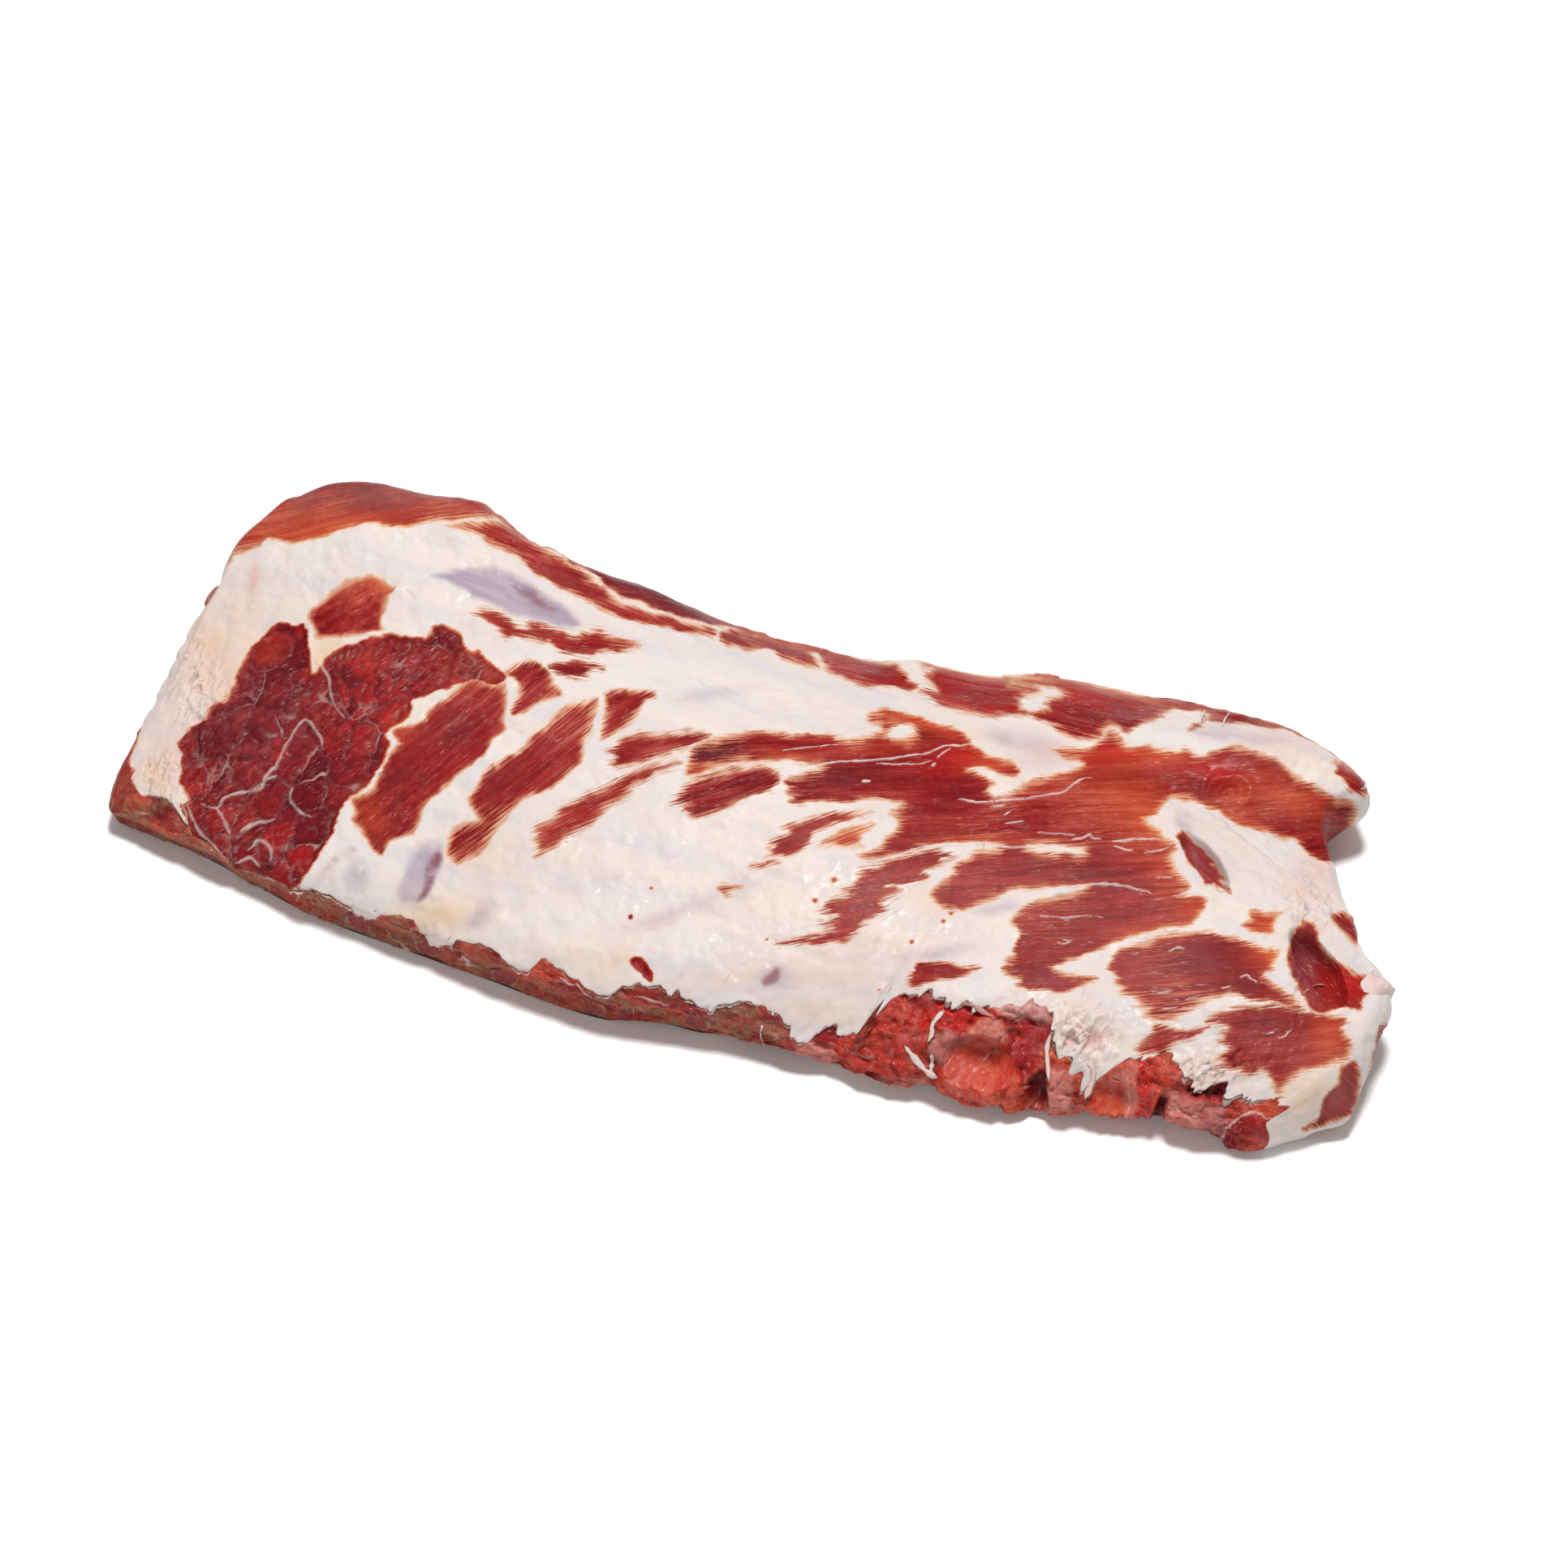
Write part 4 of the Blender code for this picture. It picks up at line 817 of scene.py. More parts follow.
# torn patches of the near edge: look, how far they stand out in millimetres, softness, outline
TORN = [
    ("brown", 0.8, 3, pairs(1030, 1279, 1071, 1255, 1078, 1231, 1098, 1219, 1118, 1238, 1132, 1260,
        1142, 1285, 1132, 1298, 1146, 1326, 1135, 1342, 1112, 1350, 1084, 1336, 1064, 1322,
        1037, 1313)),
    ("tan", 0.6, 4, pairs(1084, 1324, 1100, 1328, 1120, 1332, 1142, 1328, 1146, 1340, 1128, 1350,
        1104, 1350, 1088, 1338)),
    ("pink", 1.0, 3, pairs(978, 1290, 995, 1284, 1012, 1288, 1028, 1296, 1026, 1312, 1000, 1314,
        980, 1306)),
    ("red", -2.0, 2, pairs(1148, 1232, 1170, 1228, 1222, 1246, 1262, 1262, 1250, 1290, 1226, 1296,
        1200, 1294, 1184, 1278, 1150, 1262, 1136, 1270, 1130, 1258)),
    ("deep", -1.6, 3, pairs(1234, 1256, 1256, 1246, 1280, 1250, 1294, 1262, 1296, 1280, 1280, 1292,
        1276, 1318, 1264, 1328, 1248, 1320, 1234, 1300, 1240, 1279)),
    ("lace", 0.4, 3, pairs(1222, 1236, 1246, 1230, 1272, 1234, 1292, 1242, 1296, 1258, 1280, 1256,
        1262, 1248, 1240, 1250)),
    ("peach", 2.0, 4, pairs(1190, 1272, 1206, 1255, 1224, 1252, 1236, 1262, 1240, 1280, 1226, 1292,
        1204, 1290, 1190, 1284)),
    ("purple", 1.0, 3, pairs(1148, 1282, 1164, 1270, 1182, 1274, 1192, 1292, 1182, 1308, 1163, 1312,
        1146, 1302)),
    ("salmon", 2.2, 3, pairs(1154, 1342, 1160, 1316, 1182, 1297, 1207, 1298, 1250, 1319, 1244, 1342,
        1232, 1356, 1214, 1362, 1193, 1358, 1174, 1348)),
    ("salmon", 2.0, 2, pairs(1248, 1326, 1260, 1330, 1257, 1350, 1266, 1366, 1248, 1376, 1232, 1371,
        1236, 1353, 1241, 1340)),
    ("hole", -4.5, 2, pairs(1265, 1343, 1270, 1330, 1281, 1322, 1293, 1322, 1296, 1340, 1291, 1357,
        1279, 1362, 1265, 1355)),
    ("pink", 1.4, 3, pairs(1294, 1322, 1312, 1316, 1322, 1333, 1322, 1357, 1330, 1374, 1302, 1376,
        1290, 1360)),
    ("orange", 1.4, 4, pairs(1340, 1338, 1374, 1308, 1398, 1300, 1420, 1300, 1440, 1310, 1447, 1322,
        1442, 1342, 1428, 1358, 1424, 1372, 1424, 1392, 1398, 1402, 1380, 1392, 1352, 1390,
        1322, 1386, 1316, 1374, 1336, 1366)),
    ("peach", 1.6, 6, pairs(1376, 1316, 1392, 1308, 1404, 1318, 1402, 1350, 1396, 1372, 1382, 1366,
        1374, 1340)),
    ("red", 0.2, 3, pairs(1400, 1300, 1416, 1298, 1428, 1308, 1422, 1330, 1418, 1350, 1412, 1376,
        1402, 1380, 1400, 1350, 1406, 1326)),
    ("orange", 1.8, 3, pairs(1426, 1308, 1442, 1308, 1446, 1324, 1440, 1344, 1428, 1356,
        1422, 1344)),
    ("hole", -3.5, 2, pairs(1420, 1366, 1428, 1354, 1440, 1348, 1446, 1356, 1438, 1372,
        1424, 1380)),
    ("hole", -3.0, 2, pairs(1466, 1338, 1480, 1334, 1500, 1336, 1514, 1342, 1506, 1352, 1488, 1350,
        1472, 1348)),
    ("pink", 1.2, 4, pairs(1438, 1346, 1458, 1350, 1482, 1354, 1492, 1370, 1484, 1400, 1455, 1398,
        1426, 1388, 1436, 1368)),
    ("purple", 0.6, 3, pairs(1484, 1362, 1500, 1358, 1512, 1366, 1508, 1388, 1500, 1408,
        1484, 1402)),
    ("deep", 1.6, 3, pairs(1508, 1392, 1518, 1378, 1540, 1370, 1562, 1380, 1580, 1382, 1586, 1394,
        1574, 1424, 1552, 1432, 1520, 1418, 1506, 1408)),
    ("brown", 1.8, 4, pairs(1520, 1408, 1540, 1402, 1562, 1408, 1580, 1402, 1578, 1422, 1552, 1434,
        1530, 1426)),
]
FACE_STAINS = {
    # The dark spot at 200, 995 is painted shade in a hollow of the left corner.
    "dark": [(930, 1254, 70, 12, -4, 0.5), (790, 1194, 8, 10, 40, 0.9), (200, 995, 18, 9, 10, 0.8),
        (1150, 1240, 8, 10, 0, 0.5)],
    "wet_and_lit": [(930, 1250, 60, 14, 0, 0.6), (1410, 1340, 16, 40, 0, 0.5), (853, 1247, 14, 10, 0, 0.6)],
    "orange": [(640, 1238, 90, 10, -16, 0.5), (900, 1285, 90, 8, -6, 0.6),
        (800, 1200, 12, 12, 0, 0.8)],
}
FACE_STRANDS = [
    (2.6, pairs(1503, 1416, 1505, 1400, 1514, 1386, 1530, 1376, 1547, 1370, 1560, 1377,
        1574, 1374)),
    (1.6, pairs(475, 1142, 490, 1158, 510, 1170)),
    (1.4, pairs(565, 1178, 580, 1186, 597, 1190)),
    (1.6, pairs(785, 1228, 806, 1232, 825, 1240)),
    (1.3, pairs(690, 1200, 706, 1212, 728, 1226)),
    (1.4, pairs(1200, 1330, 1212, 1318, 1222, 1308)),
    (1.2, pairs(1040, 1290, 1062, 1300, 1084, 1304)),
    (1.5, pairs(1232, 1240, 1250, 1252, 1268, 1250, 1284, 1258)),
    (1.2, pairs(1244, 1236, 1256, 1244, 1272, 1240)),
    (1.3, pairs(1386, 1330, 1384, 1350, 1390, 1372)),
]

# loose shreds: look, half width in pixels, lift of the tip and thickness in millimetres, points
SHREDS = [
    ("fat", 3.2, 1.5, 0.4, pairs(1163, 1244, 1156, 1254, 1148, 1264, 1150, 1274, 1144, 1286)),
    ("fat", 2.8, 1.0, 0.4, pairs(1114, 1288, 1122, 1298, 1130, 1308, 1144, 1322, 1156, 1328)),
    ("fat", 2.2, 1.2, 0.4, pairs(1148, 1298, 1149, 1310, 1147, 1320, 1154, 1328)),
    ("lace", 2.4, 1.6, 0.3, pairs(1164, 1240, 1178, 1234, 1198, 1238, 1214, 1250, 1226, 1254)),
    ("fat", 2.0, 3.0, 0.4, pairs(1297, 1270, 1290, 1290, 1292, 1310, 1294, 1332)),
    ("fat", 3.0, 2.0, 0.4, pairs(1340, 1306, 1348, 1320, 1344, 1338, 1336, 1354)),
    ("fat", 0.9, 2.6, 0.2, pairs(940, 1262, 937, 1272, 939, 1281, 943, 1288)),
    ("fat", 1.2, 1.0, 0.2, pairs(872, 1238, 876, 1246)),
    ("fat", 1.2, 1.0, 0.2, pairs(950, 1238, 953, 1252)),
    ("fat", 1.8, 1.4, 0.3, pairs(210, 978, 216, 992, 226, 1006, 234, 1018)),
    ("tan", 1.6, 1.2, 0.3, pairs(222, 990, 230, 1004, 230, 1016)),
    ("tan", 2.0, 1.5, 0.3, pairs(366, 1090, 370, 1098, 368, 1110)),
    ("tan", 2.6, 0.8, 0.4, pairs(1274, 834, 1284, 826, 1296, 828, 1306, 836)),
    ("fat", 0.8, 2.4, 0.2, pairs(1478, 894, 1480, 886, 1484, 880)),
    ("fat", 0.8, 2.4, 0.2, pairs(1506, 896, 1509, 888, 1514, 884)),
    ("fat", 1.0, 2.6, 0.3, pairs(1676, 972, 1688, 976, 1698, 981)),
    ("tan", 1.6, 0.6, 0.3, pairs(1603, 1227, 1612, 1219, 1622, 1214, 1633, 1215)),
]
# ragged hem of the fat sheet: pixel across the picture, how far its strips hang in millimetres
HEM = pairs(150, 0.0, 175, 1.2, 235, 1.6, 400, 1.2, 560, 1.4, 700, 1.0, 880, 1.4, 1030, 1.2,
    1056, 0.2, 1100, 0.2, 1140, 3.0, 1200, 2.2, 1270, 2.8, 1296, 6.0, 1336, 7.0, 1360, 2.6,
    1424, 2.4, 1446, 5.5, 1500, 5.0, 1562, 4.5, 1600, 0.0)


def fibre_direction(degrees):
    """Direction in plan of a fibre that is seen at this angle in the picture."""
    c, s = math.cos(math.radians(degrees)), math.sin(math.radians(degrees))
    plan = np.linalg.solve(np.array([[RIGHT[0], RIGHT[1]], [UP[0], UP[1]]]), np.array([c, s]))
    return plan / np.linalg.norm(plan)


def patch_cover(at, points, patches):
    """Pixels into the nearest patch, negative outside it, and that patch's look: width of its
    tan rim, raggedness, and fibre coordinates (along, across, patch number) in millimetres."""
    inside = np.full(len(at), -LEAN_SPAN / 2)
    rim, ragged = np.full(len(at), 4.0), np.full(len(at), 2.0)
    number_of = np.zeros(len(at))
    grain = np.tile(fibre_direction(12), (len(at), 1))
    for number, (softness, feather, degrees, outline) in enumerate(patches):
        near, gap, _ = beside(at, outline, True, LEAN_SPAN / 2)
        better = gap > inside[near]
        pick = near[better]
        inside[pick], rim[pick], ragged[pick] = gap[better], softness, feather
        number_of[pick], grain[pick] = number, fibre_direction(degrees)
    along = points[:, 0] * grain[:, 0] + points[:, 1] * grain[:, 1]
    across = points[:, 1] * grain[:, 0] - points[:, 0] * grain[:, 1] + 0.8 * points[:, 2]
    return inside, rim, ragged, np.stack([along, across, number_of], axis=-1)


def strand_cover(at, strands):
    """Raised strands: a rounded ridge across each line, tapering to both ends."""
    cover = np.zeros(len(at))
    for half_width, points in strands:
        near, gap, share = beside(at, points, False, half_width * 3 + 2)
        width = 0.8 * half_width * (0.35 + 0.65 * np.sqrt(np.clip(4 * share * (1 - share), 0, 1)))
        spot = at[near] / 8
        uneven = 0.95 + 0.45 * lattice_noise(spot[:, 0], spot[:, 1], 0 * gap, 90)
        width = width * np.clip(uneven, 0.5, 1.5)
        cover[near] = np.maximum(cover[near], smooth(1.5, 0.4, gap / width))
    return cover


def stain_cover(at, stains):
    """Sum of turned Gaussian spots, at most 1."""
    cover = np.zeros(len(at))
    for x, y, half_x, half_y, turn, strength in stains:
        cover += strength * bell(at[:, 0] - x, at[:, 1] - y, half_x, half_y, -turn)
    return np.clip(cover, 0, 1)


def lobes(flat, at):
    """Lobes of the dark lean: cells of two sizes, their borders pulled about by noise. Gives
    the depth of the grooves between them, the pale veins in some grooves, and a random
    number for each lobe, centred on 0."""
    near, gap, _ = beside(at, DARK_LEAN, True, 0)
    depth, vein, number = np.zeros((3, len(flat)))
    p = flat[near]
    x = p[:, 0] + 2.6 * rough_noise(p, 8, 61)
    y = p[:, 1] + 2.6 * rough_noise(p, 8, 62)
    within = smooth(0, 7, gap)
    fine = stain_cover(at[near], FINE_LOBES)
    for size, share, strength, seed in ((10.5, 1 - 0.75 * fine, 1.1, 1),
                                        (4.2, 0.35 + 0.65 * fine, 0.7, 5)):
        border, tone = cell_pattern(x / size, y / size * 0.85, seed)
        width = 0.42 / size
        patchy = smooth(0.0, 0.7, rough_noise(p, 11, 63 + seed))
        line = smooth(2.0 * width, 0.6 * width, border)
        depth[near] += share * within * strength * np.exp(-border * size / 1.6)
        vein[near] = np.maximum(vein[near], share * within * patchy * line)
        number[near] += (tone - 0.5) * share * within
    return depth, vein, number


def crease_height(at):
    """Folds and creases: a Gaussian ridge or groove across each line, fading at both ends."""
    height = np.zeros(len(at))
    for rise, half_width, points in CREASES:
        near, gap, share = beside(at, points, False, half_width * 3)
        ends = np.clip(5 * share, 0, 1) * np.clip(5 - 5 * share, 0, 1)
        height[near] += rise * np.exp(-((gap / half_width) ** 2)) * ends
    return height


def shaped(masks, shape):
    """Masks kept as rows, in the shape of the grid they belong to."""
    return {name: m.reshape(*shape, *m.shape[1:]) for name, m in masks.items()}


def paint(points):
    """All masks of the fat sheet and the lean at these points."""
    flat = points.reshape(-1, 3)
    true_at = picture_place(flat)
    wobble = np.stack([rough_noise(flat, 6, 3, 4), rough_noise(flat, 6, 9, 4)], axis=-1)
    at = true_at + wobble * 2.6
    inside, rim, ragged, fibre = patch_cover(at, flat, LEAN)
    inside = np.minimum(inside, -patch_cover(at, flat, FAT)[0])
    depth, vein, number = lobes(flat, at)
    masks = {"lean": np.clip(0.5 + inside / LEAN_SPAN, 0, 1), "rim": rim / 10,
             "ragged": (ragged + 1) / 10,
             "strand": strand_cover(true_at + wobble, STRANDS), "fibre": fibre, "vein": vein,
             "groove": depth, "crease": crease_height(at), "fray": np.zeros(len(flat))}
    for name, stains in STAINS.items():
        masks[name] = stain_cover(at, stains)
    for name, strength, softness, outline in TINTED:
        near, gap, _ = beside(at, outline, True, softness * 2)
        cover = strength * smooth(-1.5 * softness, 2.5 * softness, gap)
        for mask, part in TINT_MASKS.get(name, {name: 1.0}).items():
            masks[mask][near] = np.maximum(masks[mask][near], part * cover)
    # Painted shade and light on the lobes: the grooves are painted darker and more purple, and the
    # bright wet red is taken out of them, so the lobe tops read as lit.
    masks["dark"] = np.clip(masks["dark"] + np.clip(number, 0, 1) * 1.6 + 0.4 * depth, 0, 1)
    masks["wet_and_lit"] = np.clip(masks["wet_and_lit"] + np.clip(-number - 0.10, 0, 1) * 1.2 - 0.3 * depth, 0, 1)
    masks["purple"] = np.clip(masks["purple"] + 0.3 * depth, 0, 1)
    stretched = flat * np.array([1.0, 0.5, 0.5])
    rags = 1.2 - 2.6 * np.abs(rough_noise(stretched, 3.6, 16)) + 0.8 * folds(flat, 1.7, 17)
    masks["rags"] = masks["shag"] * rags
    masks["blush"] = np.clip(masks["blush"] + masks["shag"] * smooth(0.2, -1.2, rags), 0, 1)
    return shaped(masks, points.shape[:-1])


# ---- Meshes ----------------------------------------------------------------------------
def grid_faces(rows, columns, flip):
    """Quads of a grid of rows by columns vertices."""
    k = np.arange(rows * columns).reshape(rows, columns)
    a, b, c, d = k[:-1, :-1], k[1:, :-1], k[1:, 1:], k[:-1, 1:]
    return np.stack([a, d, c, b] if flip else [a, b, c, d], axis=-1).reshape(-1, 4)


def inside_box(points):
    """The points, in millimetres, as rows that stay a hair inside the solid's box."""
    low, high = (np.array(corner) / MM for corner in SOLID_BOX)
    return np.clip(points.reshape(-1, 3), low + BOX_MARGIN, high - BOX_MARGIN)


def grid_object(name, points, normals, masks, material, replaced=(), flip=False):
    """Object from a grid of points in millimetres, with its normals and masks on the vertices."""
    flat = inside_box(points)
    quads = grid_faces(*points.shape[:2], flip)
    mesh = bpy.data.meshes.new(name)
    mesh.vertices.add(len(flat))
    mesh.vertices.foreach_set("co", (flat * MM).ravel())
    mesh.loops.add(quads.size)
    mesh.loops.foreach_set("vertex_index", quads.ravel())
    mesh.polygons.add(len(quads))
    mesh.polygons.foreach_set("loop_start", np.arange(0, quads.size, 4))
    mesh.update(calc_edges=True)
    mesh.shade_smooth()
    add_masks(mesh, {k: m.reshape(len(flat), -1) for k, m in masks.items()})
    if normals is not None:
        mesh.normals_split_custom_set_from_vertices(normals.reshape(-1, 3))
    mesh.materials.append(material)
    return finished(mesh, replaced)


MASK_GROUPS = {"tissue": ("lean", "strand", "rim", "ragged"),
               "stain": ("orange", "wet_and_lit", "brown", "film"),
               "tint": ("cream", "blush", "slate", "dark"),
               "grain": ("purple", "shag", "vein", "fray")}
MASK_NAMES = [name for names in MASK_GROUPS.values() for name in names]


def add_masks(mesh, masks):
    """Masks go into colour attributes of four values each, and the fibre coordinates."""
    count = len(mesh.vertices)
    for group, names in MASK_GROUPS.items():
        values = np.zeros((count, 4), np.float32)
        for k, mask in enumerate(names):
            if mask in masks:
                values[:, k] = masks[mask][:, 0]
        mesh.attributes.new(group, "FLOAT_COLOR", "POINT").data.foreach_set("color", values.ravel())
    if "fibre" in masks:
        vectors = masks["fibre"].astype(np.float32)
        layer = mesh.attributes.new("fibre", "FLOAT_VECTOR", "POINT")
        layer.data.foreach_set("vector", vectors.ravel())


def placed(name, data):
    """Object with this data, linked to the scene."""
    obj = bpy.data.objects.new(name, data)
    bpy.context.scene.collection.objects.link(obj)
    return obj


def finished(mesh, replaced=()):
    """Object of the mesh, carried by the root and the nodes that it replaces."""
    obj = placed(mesh.name, mesh)
    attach(obj, "root")
    if replaced:
        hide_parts(*replaced)
    return obj


# ---- Relief ----------------------------------------------------------------------------
def pressed(points):
    """Pockets: inside each one's oval the surface is lowered onto the lower half of its
    ellipsoid."""
    p = points.copy()
    for (cx, cy, cz), (half_x, half_y, half_z), turn in PRESSED_POCKETS:
        a, b = turned(p[..., 0] - (cx - CENTRE_X), p[..., 1] - (cy - CENTRE_Y), turn)
        r = (a / half_x) ** 2 + (b / half_y) ** 2
        floor = cz - half_z * np.sqrt(np.clip(1 - r, 0, 1))
        deep = np.where(r < 1, np.clip(p[..., 2] - floor, 0, None), 0)
        p[..., 2] -= deep * smooth(1, 0.5, r)
    return p


def hollowed(points):
    """Torn hollows: the sawn face is pushed back onto the far half of an ellipsoid."""
    p = points.copy()
    for (cx, cy, cz), (half_x, half_y, half_z) in TORN_HOLLOWS:
        a = (p[..., 0] - (cx - CENTRE_X)) / half_x
        b = (p[..., 2] - cz) / half_z
        r = a * a + b * b
        back = (cy - CENTRE_Y) + half_y * np.sqrt(np.clip(1 - r, 0, 1))
        p[..., 1] += np.where(r < 1, np.clip(back - p[..., 1], 0, None), 0) * smooth(1, 0.8, r)
    return p


def relief(points, masks):
    """Height over the smooth form: lean lies lower than the fat, strands stand up, grooves run
    between the lobes; broad swells and small dimples run over everything."""
    fibre = masks["fibre"]
    cover = smooth(0.48, 0.68, masks["lean"])
    height = 0.7 * rough_noise(points, 34, 11) + 0.25 * rough_noise(points, 9, 12)
    ridges = lattice_noise(fibre[..., 0] / 14, fibre[..., 1] / 1.7, fibre[..., 2], 21)
    ridges = ridges + 0.5 * lattice_noise(fibre[..., 0] / 7, fibre[..., 1] / 0.8, fibre[..., 2], 22)
    height = height + cover * (0.10 * ridges - 0.5) + 0.3 * masks["strand"]
    height = height - masks["groove"] + masks["crease"]
    plump = (1 - cover) * (0.45 * rough_noise(points, 6.5, 14) + 0.35 * folds(points, 9, 15))
    return height + plump + 1.3 * masks["rags"]


# ---- Materials -------------------------------------------------------------------------
def socket(group, name, direction, kind="NodeSocketFloat"):
    return group.interface.new_socket(name=name, in_out=direction, socket_type=kind)


class Nodes:
    """Short hand for a node tree: each call adds a node and gives back its output."""

    def __init__(self, tree):
        self.tree = tree

    def add(self, kind, **settings):
        node = self.tree.nodes.new(kind)
        for key, value in settings.items():
            setattr(node, key, value)
        return node

    def feed(self, target, value):
        if isinstance(value, bpy.types.NodeSocket):
            self.tree.links.new(value, target)
        else:
            target.default_value = value

    def fill(self, node, values):
        for key, value in values.items():
            self.feed(node.inputs[key], value)
        return node

    def math(self, operation, a, b, clamp=False):
        node = self.add("ShaderNodeMath", operation=operation, use_clamp=clamp)
        return self.fill(node, {0: a, 1: b}).outputs[0]

    def plus(self, first, *others):
        for other in others:
            first = self.math("ADD", first, other)
        return first

    def times(self, first, *others):
        for other in others:
            first = self.math("MULTIPLY", first, other)
        return first

    def minus(self, a, b):
        return self.math("SUBTRACT", a, b)

    def swing(self, value, factor):
        """How far the value is from one half, times the factor."""
        return self.times(self.minus(value, 0.5), factor)

    def mix(self, share, a, b):
        a, b = ((*colour, 1) if isinstance(colour, tuple) else colour for colour in (a, b))
        node = self.add("ShaderNodeMix", data_type="RGBA", blend_type="MIX", clamp_factor=True)
        return self.fill(node, {0: share, 6: a, 7: b}).outputs[2]

    def coats(self, colour, coats):
        """The colour under coats of other colours, each with the share that it covers."""
        for share, coat in coats:
            colour = self.mix(share, colour, coat)
        return colour

    def between(self, value, low, high, to_low=0.0, to_high=1.0):
        node = self.add("ShaderNodeMapRange", interpolation_type="SMOOTHSTEP")
        return self.fill(node, dict(enumerate((value, low, high, to_low, to_high)))).outputs[0]

    def noise(self, place, scale, detail, roughness):
        node = self.add("ShaderNodeTexNoise")
        self.fill(node, {"Vector": place, "Scale": scale, "Detail": detail, "Roughness": roughness})
        return node.outputs["Fac"]

    def scaled(self, place, factors):
        node = self.add("ShaderNodeVectorMath", operation="MULTIPLY")
        return self.fill(node, {0: place, 1: factors}).outputs[0]

    def ramp(self, value, stops):
        node = self.fill(self.add("ShaderNodeValToRGB"), {0: value})
        band = node.color_ramp
        while len(band.elements) > 1:
            band.elements.remove(band.elements[-1])
        band.elements[0].position, band.elements[0].color = stops[0][0], (*stops[0][1], 1)
        for position, colour in stops[1:]:
            band.elements.new(position).color = (*colour, 1)
        return node.outputs[0]

    def bump(self, height, strength, distance):
        values = {"Strength": strength, "Distance": distance, "Height": height}
        return self.fill(self.add("ShaderNodeBump"), values).outputs[0]

    def attribute(self, name):
        """The four values of a colour attribute."""
        node = self.add("ShaderNodeAttribute", attribute_name=name)
        parts = self.fill(self.add("ShaderNodeSeparateColor"), {0: node.outputs["Color"]})
        return *parts.outputs[:3], node.outputs["Alpha"]


def new_material(name):
    """Material, its nodes and its shader."""
    material = bpy.data.materials.new(name)
    material.use_nodes = True
    return material, Nodes(material.node_tree), material.node_tree.nodes["Principled BSDF"]


